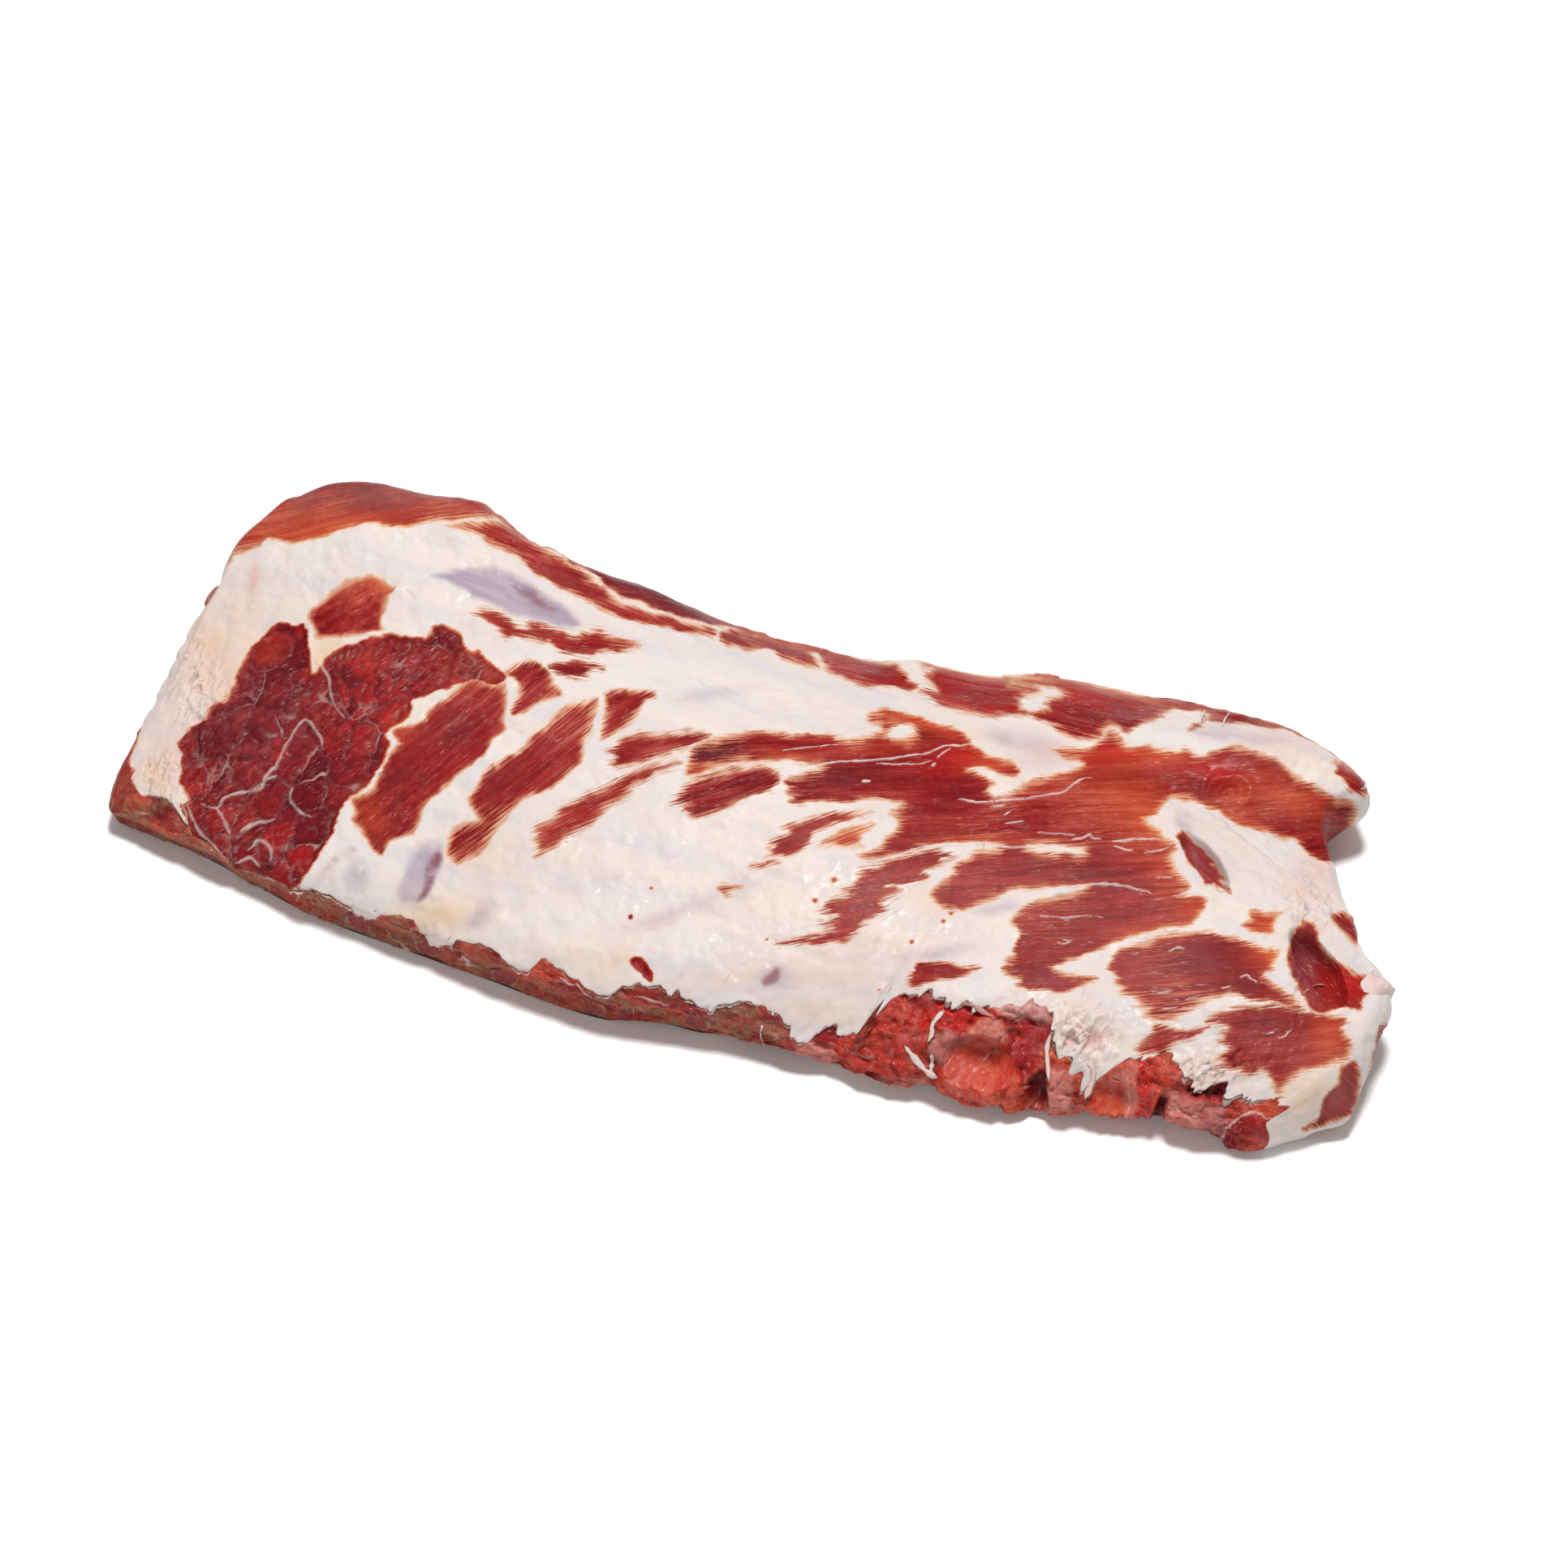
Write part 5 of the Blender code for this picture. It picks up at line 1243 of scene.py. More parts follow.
def tissue_group():
    """Colour, roughness, height and moisture of raw meat and fat from the masks on the vertices."""
    group = bpy.data.node_groups.new("raw_tissue", "ShaderNodeTree")
    socket(group, "Paleness", "INPUT")
    socket(group, "Colour", "OUTPUT", "NodeSocketColor")
    socket(group, "Roughness", "OUTPUT")
    socket(group, "Height", "OUTPUT")
    socket(group, "Moisture", "OUTPUT")
    n = Nodes(group)
    given = n.add("NodeGroupInput")
    out = n.add("NodeGroupOutput")
    between, times, plus, minus = n.between, n.times, n.plus, n.minus

    lean, strand, rim, ragged = n.attribute("tissue")
    orange, wet_and_lit, brown, film = n.attribute("stain")
    cream, blush, slate, dark = n.attribute("tint")
    purple, shag, vein, fray = n.attribute("grain")
    fibre = n.add("ShaderNodeAttribute", attribute_name="fibre").outputs["Vector"]
    place = n.add("ShaderNodeTexCoord").outputs["Object"]

    threads = n.noise(n.scaled(fibre, (0.085, 2.3, 3.0)), 1.0, 2.0, 0.55)
    fingers = n.noise(n.scaled(fibre, (0.06, 1.0, 3.0)), 1.0, 2.0, 0.55)
    bundles = n.noise(n.scaled(fibre, (0.03, 0.30, 3.0)), 1.0, 2.0, 0.55)
    flecks = n.noise(n.scaled(fibre, (0.26, 3.0, 3.0)), 1.0, 1.0, 0.5)
    mottle = n.noise(place, 60.0, 4.0, 0.6)
    cloud = n.noise(place, 22.0, 3.0, 0.55)
    wash = n.noise(place, 41.0, 2.0, 0.5)
    grain = n.noise(place, 900.0, 2.0, 0.6)
    crumb = n.noise(place, 330.0, 3.0, 0.65)

    def threading(low, high):
        """From low where the lean is whole to high where its edge is drawn out in threads."""
        return between(ragged, 0.1, 0.28, low, high)

    # distance into the lean in pixels of the picture, its edge drawn out along the threads
    drawn = minus(plus(times(threads, 0.75), times(fingers, 0.5)), 0.625)
    into = plus(times(minus(lean, EDGE_OF_LEAN), LEAN_SPAN), times(drawn, ragged, 48.0),
                plus(n.swing(crumb, 4.0), n.swing(mottle, 9.0)))
    width = times(plus(times(rim, 12.0), 1.0), between(wash, 0.38, 0.64, 0.8, 1.7))
    width = times(width, between(fingers, 0.40, 0.62, threading(1.0, 0.7), threading(1.0, 2.1)))
    shade = n.math("DIVIDE", plus(into, 2.0), plus(width, 2.0), clamp=True)

    threaded = threading(0.25, 1.0)
    tone = plus(times(minus(threads, 0.5), threaded),
                plus(n.swing(bundles, 1.3), n.swing(cloud, 1.5)),
                times(minus(crumb, 0.5), minus(1.1, threaded), 1.6))
    tone = n.math("ADD", tone, 0.5, clamp=True)
    deep = n.ramp(tone, [(0.0, (0.13, 0.004, 0.007)), (0.35, (0.21, 0.007, 0.009)),
                         (0.65, (0.29, 0.017, 0.015)), (1.0, (0.42, 0.060, 0.046))])
    bright = n.ramp(tone, [(0.0, (0.36, 0.026, 0.012)), (0.5, (0.50, 0.062, 0.025)),
                           (1.0, (0.62, 0.16, 0.075))])
    pale_threads = times(between(fingers, 0.52, 0.70), between(wash, 0.40, 0.62, 0.02, 0.12))
    meat = n.coats(deep, [
        (orange, bright),
        (times(wet_and_lit, 0.85), (0.52, 0.012, 0.010)),
        (times(purple, 0.8), (0.21, 0.058, 0.075)),
        (times(dark, between(mottle, 0.35, 0.60, 0.65, 0.95)), (0.105, 0.006, 0.010)),
        (times(brown, between(crumb, 0.38, 0.62, 0.35, 1.0)), (0.27, 0.130, 0.074)),
        (times(pale_threads, threaded), (0.50, 0.19, 0.15)),
        (times(between(flecks, 0.655, 0.73), between(wash, 0.40, 0.60, 0.15, 0.75)),
         (0.62, 0.34, 0.30)),
        (film, (0.62, 0.36, 0.32)),
    ])

    layers = n.add("ShaderNodeMapping")
    n.fill(layers, {"Rotation": (0, 0, math.radians(-12)), "Scale": (16, 95, 60), "Vector": place})
    smears = n.noise(layers.outputs[0], 1.0, 3.0, 0.6)
    fat = n.coats((0.69, 0.622, 0.595), [
        (between(cloud, 0.35, 0.68), (0.68, 0.585, 0.54)),
        (between(wash, 0.52, 0.72, 0.0, 0.7), (0.66, 0.60, 0.585)),
        (between(mottle, 0.5, 0.78, 0.0, 0.35), (0.76, 0.68, 0.62)),
        (between(mottle, 0.46, 0.28, 0.0, 0.45), (0.70, 0.55, 0.49)),
        (between(smears, 0.52, 0.66, 0.0, 0.75), (0.63, 0.575, 0.60)),
        (between(smears, 0.48, 0.36, 0.0, 0.6), (0.745, 0.645, 0.585)),
        (times(cream, between(mottle, 0.3, 0.6, 0.45, 0.95)), (0.70, 0.49, 0.32)),
        (times(blush, between(mottle, 0.3, 0.6, 0.4, 0.85)), (0.68, 0.38, 0.34)),
        (times(slate, between(smears, 0.30, 0.54, 0.70, 1.0)), (0.34, 0.272, 0.345)),
        (times(fray, between(mottle, 0.38, 0.58, 0.15, 0.9)), (0.22, 0.055, 0.085)),
        (times(shag, between(crumb, 0.40, 0.62), 0.42), (0.68, 0.36, 0.29)),
    ])

    tan = n.ramp(shade, [(0.0, (0.71, 0.60, 0.52)), (0.28, (0.64, 0.37, 0.24)),
                         (0.55, (0.50, 0.15, 0.085)), (1.0, (0.36, 0.045, 0.030))])
    warm = n.ramp(shade, [(0.0, (0.72, 0.58, 0.46)), (0.22, (0.68, 0.36, 0.18)),
                          (0.5, (0.58, 0.14, 0.055)), (1.0, (0.50, 0.06, 0.028))])
    raised = times(strand, threading(0.65, 1.0), between(mottle, 0.35, 0.6, 0.5, 0.9))
    colour = n.coats(fat, [
        (between(shade, 0.0, 0.25), n.mix(orange, tan, warm)),
        (between(shade, 0.35, 1.0), meat),
        (raised, n.mix(0.5, fat, (0.78, 0.60, 0.54))),
        (times(vein, between(mottle, 0.4, 0.62, 0.08, 0.75)), (0.58, 0.36, 0.33)),
    ])

    lean_share = between(shade, 0.2, 0.9)
    rough = n.add("ShaderNodeMix", data_type="FLOAT")
    n.fill(rough, {0: lean_share, 2: between(mottle, 0.3, 0.8, 0.38, 0.55),
                   3: between(threads, 0.3, 0.7, 0.30, 0.44)})

    fibre_height = times(plus(threads, times(flecks, 0.5)), lean_share)
    fat_height = times(plus(mottle, times(grain, 0.25)), 0.8)
    height = plus(times(fibre_height, 0.8), fat_height, times(strand, 0.5), times(shag, crumb, 2.5))
    moist_fat = between(mottle, 0.50, 0.68, 0.01, 0.14)
    moist_lean = between(flecks, 0.58, 0.74, 0.0, 0.20)
    moist = plus(times(moist_fat, minus(1.0, lean_share)), times(moist_lean, lean_share),
                 times(wet_and_lit, 0.12))
    n.fill(out, {0: n.scaled(colour, given.outputs[0]), 1: rough.outputs[0], 2: height, 3: moist})
    return group


def tissue_material(name, group, bump, brightness=0.73, translucency=0.12, gloss=0.05):
    """Raw tissue: soft, moist, with light scattering a little way under the surface."""
    material, n, shader = new_material(name)
    tissue = n.fill(n.add("ShaderNodeGroup", node_tree=group), {"Paleness": brightness})
    n.fill(shader, {
        "Base Color": tissue.outputs["Colour"], "Roughness": tissue.outputs["Roughness"],
        "Normal": n.bump(tissue.outputs["Height"], bump, 0.0006),
        "Subsurface Weight": translucency, "Subsurface Radius": (0.0035, 0.0012, 0.0008),
        "Subsurface Scale": 1.0, "Specular IOR Level": gloss,
        "Coat Weight": tissue.outputs["Moisture"], "Coat Roughness": 0.18})
    return material


def steps(full):
    return full


COLUMNS = steps(901)
TOP_ROWS = steps(321)
FAR_ROWS = steps(101)
FACE_ROWS = steps(111)
BEND = 171.0  # where the top piece hands over to the far side
BORDER_FADE, END_FADE = 6, 12  # millimetres over which relief, and lip and cut, fade out
FACE_TUCK = 6.0  # millimetres by which the cut face reaches in behind the lip
# rounded edge of the lip: millimetres outwards along the skin, and below it
LIP_CURL = [(-3.2, -2.3), (-0.5, -2.0), (0.35, -1.5), (0.55, -0.8), (0.4, -0.25)]


def lip_place():
    """The lip line as t over s, read on the skin under its pixels."""
    st = skin_place(LIP_LINE)
    order = np.argsort(st[:, 0])
    return st[order, 0], st[order, 1]


def top_surfaces(group):
    """Fat and lean from the lip over the top and down the far side, as four pieces. Gives back
    the stations along the slab with the lip line, the lip's edge and the way it hangs there."""
    s = np.linspace(0, LONG, COLUMNS)
    torn = smooth(255, 290, s)
    lip = np.interp(s, *lip_place())
    lip = lip + (0.35 + 1.5 * torn) * wave(s / 3.1, 71) + (0.25 + 0.8 * torn) * wave(s / 1.2, 72)
    t = lip[:, None] + (BEND - lip[:, None]) * np.linspace(0, 1, TOP_ROWS)[None, :]
    far = np.linspace(BEND, WIDE + THICK, FAR_ROWS)[1:]
    t = np.concatenate([t, np.broadcast_to(far, (COLUMNS, FAR_ROWS - 1))], axis=1)
    ss = np.broadcast_to(s[:, None], t.shape)
    base = skin_point(ss, t)
    normal = normals_of(base)
    masks = paint(pressed(base))
    heights = relief(base, masks)
    sight = EYE / MM - base
    facing = (normal * sight).sum(axis=-1) / np.linalg.norm(sight, axis=-1)
    turned_away = smooth(0.04, -0.08, facing) * smooth(120, 140, t)
    far_streaks(masks, np.maximum(smooth(BEND + 4, BEND + 16, t), turned_away), ss, t)
    closing = off_ends(s, LONG, BORDER_FADE)[:, None] * smooth(WIDE + THICK, WIDE + THICK - 5, t)
    skin = pressed(base + normal * (closing * heights)[..., None])
    edge, downhill = skin[:, :1], unit(skin[:, :1] - skin[:, 1:2])
    curl = np.array(LIP_CURL)[None, :, :, None] * off_ends(s, LONG, END_FADE)[:, None, None, None]
    rim = edge + downhill * curl[:, :, 0] + normal[:, :1] * curl[:, :, 1]
    skin = np.concatenate([rim, skin], axis=1)
    extra = len(LIP_CURL)
    masks = {k: np.concatenate([np.repeat(m[:, :1], extra, axis=1), m], axis=1)
             for k, m in masks.items()}
    normal = normals_of(skin)
    side = normal[:, :extra]
    side[..., 2] = np.maximum(side[..., 2], 0.12)
    side[:] = unit(side)
    material = tissue_material("fat_and_lean", group, 0.4)
    border = extra + TOP_ROWS - 1
    thirds = [k * (COLUMNS - 1) // 3 for k in range(4)]
    parts = [(slice(a, b + 1), slice(0, border + 1)) for a, b in zip(thirds[:-1], thirds[1:])]
    parts.append((slice(None), slice(border, None)))
    for name, part in zip(("top_left", "top_middle", "top_right", "far_side"), parts):
        grid_object(name, skin[part], normal[part], {k: m[part] for k, m in masks.items()},
                    material, ("meat_slab",) if name == "top_left" else ())
    return s, lip, edge[:, 0], downhill[:, 0]


def sawn_face(group, s, lip):
    """The cut and torn edge under the lip: the skin from just behind the lip to the floor edge,
    set back below the lip and lumpy."""
    start = (lip + FACE_TUCK)[:, None]
    t = start + (-THICK - start) * np.linspace(0, 1, FACE_ROWS)[None, :]
    base = skin_point(np.broadcast_to(s[:, None], t.shape), t)
    normal = -normals_of(base)
    fade = off_ends(s, LONG, END_FADE)[:, None]
    torn = smooth(270, 300, s)[:, None]
    foot = smooth(-THICK, -THICK + 3, t)
    hidden = smooth(6.6, 3.4, start - t)
    at_rib = np.zeros(t.shape)
    for near_x in RIB_X:
        gap = base[..., 0] + CENTRE_X - near_x
        at_rib += np.exp(-((gap / 7.5) ** 2)) * smooth(15, 10, base[..., 2])
    recess = (0.5 + 0.35 * torn) * fade * foot + 3.2 * hidden * fade + 0.65 * at_rib
    set_back = base - normal * recess[..., None]
    masks, rise = face_paint(set_back, torn)
    along = base * np.array([0.6, 1.0, 1.3])
    ridged = folds(along, 5.5, 39) + 0.6 * folds(along, 2.4, 40)
    lumps = (rough_noise(base, 9, 31) * (0.5 + 0.4 * torn) + ridged * (0.9 + 0.7 * torn)
             + 0.22 * rough_noise(base, 1.6, 27))
    lumps = (lumps * (1 - 0.45 * at_rib) + rise) * foot * fade * (1 - hidden)
    skin = hollowed(set_back + normal * lumps[..., None])
    # Painted light: the cut face gets a paler colour than the top (0.76 against 0.73) to make up
    # for the shade it lies in.
    material = tissue_material("cut_face", group, 0.5, brightness=0.76, translucency=0.15, gloss=0.1)
    grid_object("sawn_face", skin, -normals_of(skin), masks, material, flip=True)


def face_paint(points, torn):
    """Masks of the sawn and torn face: brown-red meat, and each torn patch's own look. Also how
    far each patch stands out."""
    flat = points.reshape(-1, 3)
    at = picture_place(flat)
    at = at + np.stack([rough_noise(flat, 5, 33), rough_noise(flat, 5, 34)], axis=-1) * 4.5
    share = np.broadcast_to(torn, points.shape[:2]).ravel()
    masks = {name: np.zeros(len(flat)) for name in MASK_NAMES}
    masks["lean"] += 0.93 + 0.07 * rough_noise(flat, 12, 35)
    masks["rim"] += 0.3
    masks["ragged"] += 0.1
    low = smooth(19, 11, flat[:, 2])
    streaked = flat * np.array([0.45, 1.0, 1.0])
    masks["brown"] = (1 - share) * np.clip(0.25 + 0.45 * low + 0.9 * rough_noise(streaked, 5, 36),
                                           0, 1)
    masks["dark"] = ((1 - share) * (1 - 0.7 * low)
                     * np.clip(0.30 + 0.8 * rough_noise(streaked, 4, 30), 0, 1))
    masks["orange"] = np.clip(0.7 * rough_noise(streaked, 6, 37) + 0.40, 0, 1)
    arcs = smooth(0.10, 0.0, np.abs(rough_noise(streaked, 7, 38)))
    arcs = arcs * smooth(-0.1, 0.4, rough_noise(flat, 9, 26))
    masks["film"] = np.clip(0.45 * arcs + 0.06 * rough_noise(flat, 2, 25), 0, 0.6)
    for name, stains in FACE_STAINS.items():
        masks[name] = np.clip(masks[name] + stain_cover(at, stains), 0, 1)
    rise = np.zeros(len(flat))
    for look, up, softness, outline in TORN:
        near, gap, _ = beside(at, outline, True, 2 * softness)
        cover = smooth(-1.6 * softness, 1.6 * softness, gap)
        for name in masks:
            goal = LOOKS[look].get(name, 0.0)
            masks[name][near] = masks[name][near] * (1 - cover) + goal * cover
        rise[near] = rise[near] * (1 - cover) + up * smooth(-softness, softness + 5, gap)
    breakup = rough_noise(flat, 2.6, 29)
    masks["film"] = np.clip(masks["film"] + share * 0.14 * breakup, 0, 0.8)
    masks["wet_and_lit"] = np.clip(masks["wet_and_lit"] + share * 0.35 * rough_noise(flat, 4.5, 28), 0, 1)
    masks["dark"] = np.clip(masks["dark"] + share * 0.25 * np.clip(-breakup - 0.35, 0, 1), 0, 1)
    masks["strand"] = np.maximum(masks["strand"], strand_cover(at, FACE_STRANDS))
    masks["fibre"] = np.stack([flat[:, 2], flat[:, 0], flat[:, 1]], axis=-1)
    rise = rise + 0.35 * masks["strand"]
    return shaped(masks, points.shape[:2]), rise.reshape(points.shape[:2])


def far_streaks(masks, share, s, t):
    """On its share of the skin the far side gets its own streaks in place of the masks: layers
    of lean and fat that run along the slab."""
    run = np.stack([s / 26, (t - BEND) / 7, 0 * t], axis=-1)
    own = {"lean": 0.56 + 0.30 * rough_noise(run, 1.0, 81),
           "rim": 0.4 + 0 * t, "ragged": 0.3 + 0 * t,
           "orange": np.clip(0.3 + 0.5 * rough_noise(run, 1.6, 82), 0, 1),
           "film": np.clip(0.12 + 0.35 * rough_noise(run, 0.7, 83), 0, 0.5)}
    for name, mask in masks.items():
        if name == "fibre":
            mask += share[..., None] * (np.stack([s, t * 1.0, 0 * t], axis=-1) - mask)
        else:
            mask += share * (own.get(name, 0 * t) - mask)


def tube_object(name, rings, masks, material, replaced=()):
    """Object from tubes: rings has tubes, rings along each, points round each ring. The ends are
    drawn to a point and the doubled vertices there merged."""
    flat = inside_box(rings)
    k = np.arange(len(flat)).reshape(rings.shape[:3])
    after = np.roll(k, -1, axis=2)
    quads = np.stack([k[:, :-1], after[:, :-1], after[:, 1:], k[:, 1:]], axis=-1).reshape(-1, 4)
    mesh = bpy.data.meshes.new(name)
    mesh.from_pydata(flat * MM, [], quads)
    add_masks(mesh, {key: m.reshape(len(flat), -1) for key, m in masks.items()})
    tidy = bmesh.new()
    tidy.from_mesh(mesh)
    bmesh.ops.remove_doubles(tidy, verts=tidy.verts, dist=2e-6)
    bmesh.ops.recalc_face_normals(tidy, faces=tidy.faces)
    tidy.to_mesh(mesh)
    tidy.free()
    mesh.shade_smooth()
    mesh.materials.append(material)
    return finished(mesh, replaced)


def carried_rings(spines, normals, half_widths, half_depths, around):
    """Ovals carried along spines: width across the spine in the surface, depth along the normal."""
    tangent = np.gradient(spines, axis=1)
    side = unit(np.cross(tangent, normals))
    up = unit(np.cross(side, tangent))
    angle = np.arange(around) / around * 2 * math.pi
    c, s = np.cos(angle)[None, None, :, None], np.sin(angle)[None, None, :, None]
    return (spines[:, :, None] + side[:, :, None] * c * half_widths[..., None, None]
            + up[:, :, None] * s * half_depths[..., None, None])


def dressed_net():
    """Search tree of the dressed meat: the top, the far side and the cut face."""
    points, quads, count = [], [], 0
    for name in ("top_left", "top_middle", "top_right", "far_side", "sawn_face"):
        mesh = bpy.data.objects[name].data
        co = np.empty(len(mesh.vertices) * 3)
        mesh.vertices.foreach_get("co", co)
        corners = np.empty(len(mesh.loops), np.int64)
        mesh.loops.foreach_get("vertex_index", corners)
        points += co.reshape(-1, 3).tolist()
        quads += (corners.reshape(-1, 4) + count).tolist()
        count += len(mesh.vertices)
    return BVHTree.FromPolygons(points, quads)


def skin_spots(pixels, net):
    """Point and outward normal of the dressed meat under each pixel: where its line of sight
    meets the net, or else the plain skin."""
    flat = pixels.reshape(-1, 2)
    spots = skin_point(*skin_place(flat).T)
    normals = np.tile(BACK, (len(flat), 1))
    for k, direction in enumerate(unit(sight_ray(flat[:, :1], flat[:, 1:]))):
        place, normal, _, _ = net.ray_cast(EYE.tolist(), direction.tolist())
        if place is not None:
            spots[k], normals[k] = np.array(place) / MM, np.array(normal)
    normals = np.where((normals @ BACK)[:, None] < 0, -normals, normals)
    return spots.reshape(*pixels.shape[:-1], 3), normals.reshape(*pixels.shape[:-1], 3)


def look_masks(looks, shape, seed):
    """Masks of whole tubes: each keeps one look, paler or more tinted by chance."""
    chance = np.random.default_rng(seed).uniform(0, 1, (3, len(looks)))
    masks = {}
    for name in MASK_NAMES:
        value = np.array([LOOKS[look].get(name, 0.0) for look in looks])
        if name == "lean":
            value = value * (0.9 + 0.25 * chance[0])
        if name in ("cream", "blush"):
            value = value + 0.35 * chance[1 if name == "cream" else 2] ** 2
        masks[name] = np.broadcast_to(value[:, None, None], shape)
    return masks


def ragged_ribbons(name, paths, looks, half_widths, lifts, half_depths, material, seed, net):
    """Flat shreds along pixel paths: they lie on the skin, rise to the tip and have uneven
    edges."""
    count, along = paths.shape[:2]
    spots, normals = skin_spots(paths, net)
    normals = unit(normals.mean(axis=1, keepdims=True) + 0.3 * BACK) + 0 * spots
    share = np.linspace(0, 1, along)[None, :]
    spots[:, 1:-1] = (spots[:, :-2] + 2 * spots[:, 1:-1] + spots[:, 2:]) / 4
    spots = spots + normals * (0.10 + lifts[:, None] * share ** 1.4)[..., None]
    row = np.arange(count)[:, None] * 7.3 + 0 * share
    uneven = 1 + 0.55 * lattice_noise(share * along * 0.9 + 0 * row, row, 0 * row, seed)
    ends = np.clip(np.minimum(share * along, (1 - share) * along) * 0.9, 0, 1) ** 0.5
    wide = 1.35 * half_widths[:, None] / PIXELS_PER_MM * uneven * ends * (1 - 0.3 * share)
    deep = half_depths[:, None] * ends * (0.8 + 0 * share)
    rings = carried_rings(spots, normals, wide, deep, 6)
    masks = {**look_masks(looks, rings.shape[:3], seed), "fibre": rings}
    tube_object(name, rings, masks, material)


def shreds(group):
    """Loose shreds traced one by one."""
    paths = []
    for *_, points in SHREDS:
        line = smooth_line(points, False)
        run = np.concatenate([[0], np.cumsum(np.linalg.norm(np.diff(line, axis=0), axis=1))])
        at = np.linspace(0, run[-1], 10)
        paths.append(np.stack([np.interp(at, run, line[:, k]) for k in (0, 1)], axis=-1))
    looks, *sizes, _ = zip(*SHREDS)
    ragged_ribbons("loose_shreds", np.array(paths), looks, *np.array(sizes),
                   tissue_material("torn_shreds", group, 0.5), 5, dressed_net())


def torn_hem(group, s, edge, hanging):
    """Torn strips along the lip: a thin sheet hangs from it. Its length at each place is the sum
    of two noises along the lip, so it ends in points, and it bends in to the cut face."""
    rows = 10
    fine = np.linspace(s[0] + 3, s[-1] - 3, 2600)
    share = np.linspace(0, 1, rows)[None, :]
    across = np.interp(fine, s, picture_place(edge)[:, 0])
    points = 0.5 + 0.9 * wave(fine / 1.7, 91) + 0.5 * wave(fine / 0.65, 92)
    length = (np.interp(across, *zip(*HEM)) * np.clip(points, 0.03, 1.6))[:, None]
    moved = fine[:, None] + 0.4 * length * share * wave(fine / 6, 93)[:, None]
    place = np.stack([np.interp(moved, s, edge[:, k]) for k in range(3)], axis=-1)
    level = [np.interp(moved, s, hanging[:, k]) for k in (0, 1)] + [0 * moved]
    outward = unit(np.stack(level, axis=-1))
    lumps = lattice_noise(moved / 1.4, share * length / 1.2, 0 * moved, 94)
    lumps = lumps * np.clip(4 * share, 0, 1)
    bend = 0.4 + 0.4 * np.clip(length / 1.5, 0, 1) + 0.3 * lumps * np.clip(length / 3, 0, 1)
    bend = bend - np.minimum(0.28 * length, 1.6) * share ** 2
    place = place + outward * bend[..., None]
    place[..., 2] -= 0.4 + share * length
    torn = {"lean": 0.30 + 0.16 * share + 0 * moved, "rim": 0.3 + 0 * moved,
            "ragged": 0.1 + 0 * moved, "shag": 0.5 + 0 * moved,
            "blush": np.clip(0.15 + 0.45 * share - 0.4 * lumps, 0, 1),
            "cream": 0.2 + 0 * moved, "fibre": place}
    inwards = (normals_of(place)[:, rows // 2] * outward[:, 0]).sum() < 0
    material = tissue_material("torn_fat", group, 0.5)
    grid_object("torn_hem", place, None, torn, material, flip=inwards)


def bone_material():
    """Sawn bone: a grey-tan shell round porous red-brown marrow."""
    material, n, shader = new_material("sawn_bone")
    place = n.add("ShaderNodeTexCoord").outputs["Object"]
    cells = n.fill(n.add("ShaderNodeTexVoronoi"), {"Vector": place, "Scale": 900.0})
    pores = cells.outputs["Distance"]
    mottle = n.noise(place, 300.0, 3.0, 0.6)
    shell = n.mix(n.between(mottle, 0.40, 0.60), (0.15, 0.070, 0.046), (0.27, 0.145, 0.10))
    spongy = n.mix(n.between(pores, 0.15, 0.5), (0.10, 0.010, 0.013), (0.21, 0.038, 0.034))
    inner = n.between(n.plus(n.attribute("tissue")[0], n.swing(mottle, 0.9)), 0.72, 0.98)
    n.fill(shader, {"Base Color": n.mix(inner, spongy, shell),
                    "Roughness": n.between(mottle, 0.3, 0.7, 0.45, 0.65),
                    "Normal": n.bump(n.plus(pores, mottle), 0.5, 0.0004),
                    "Specular IOR Level": 0.15})
    return material


SAWN_RIM = [0.0, 0.35, 0.7, 0.92]


def rib_bones():
    """Ribs: an oval carried along each rib's path, with a flat sawn end whose rim is rounded."""
    material = bone_material()
    along = np.linspace(0, 1, 26)
    angle = np.arange(30) / 30 * 2 * math.pi
    rim = len(SAWN_RIM)
    for number, near_x in enumerate(RIB_X, 1):
        v = RIB_START + (RIB_REACH - RIB_START) * along
        u = np.full_like(v, rib_u(near_x))
        x, y = plan_position(u, v)
        z = np.maximum(section_height(BOTTOM, u, v) - RIDGE_DROP / 2, 0)
        z = z + RIB_SKIN + RIB_THICKNESS / 2
        spine = np.stack([x - CENTRE_X, y - CENTRE_Y, z], axis=-1)
        path = np.concatenate([np.repeat(spine[:1], rim + 1, 0), spine[1:], spine[-1:]])
        size = np.concatenate([SAWN_RIM, [1.0], 1 - 0.25 * along[1:] ** 6, [0.0]])
        path[rim, 1] += 0.5
        wobble = 1 + 0.16 * lattice_noise(1.6 * np.cos(angle), 1.6 * np.sin(angle), 0 * angle,
                                          number)
        oval = np.stack([RIB_WIDTH / 2 * np.cos(angle) * wobble, 0 * angle,
                         RIB_THICKNESS / 2 * np.sin(angle) * wobble], axis=-1)
        rings = path[:, None] + size[:, None, None] * oval
        rings = nudged(rings.reshape(-1, 3)).reshape(rings.shape)
        rings[:, :, 2] = np.maximum(rings[:, :, 2], 0.6)
        share = np.concatenate([SAWN_RIM, np.ones(len(path) - rim)])
        masks = {"lean": np.broadcast_to(share[:, None], rings.shape[:2])[None]}
        tube_object("rib_%d" % number, rings[None], masks, material,
                    ("rib_bone_%02d" % number,))


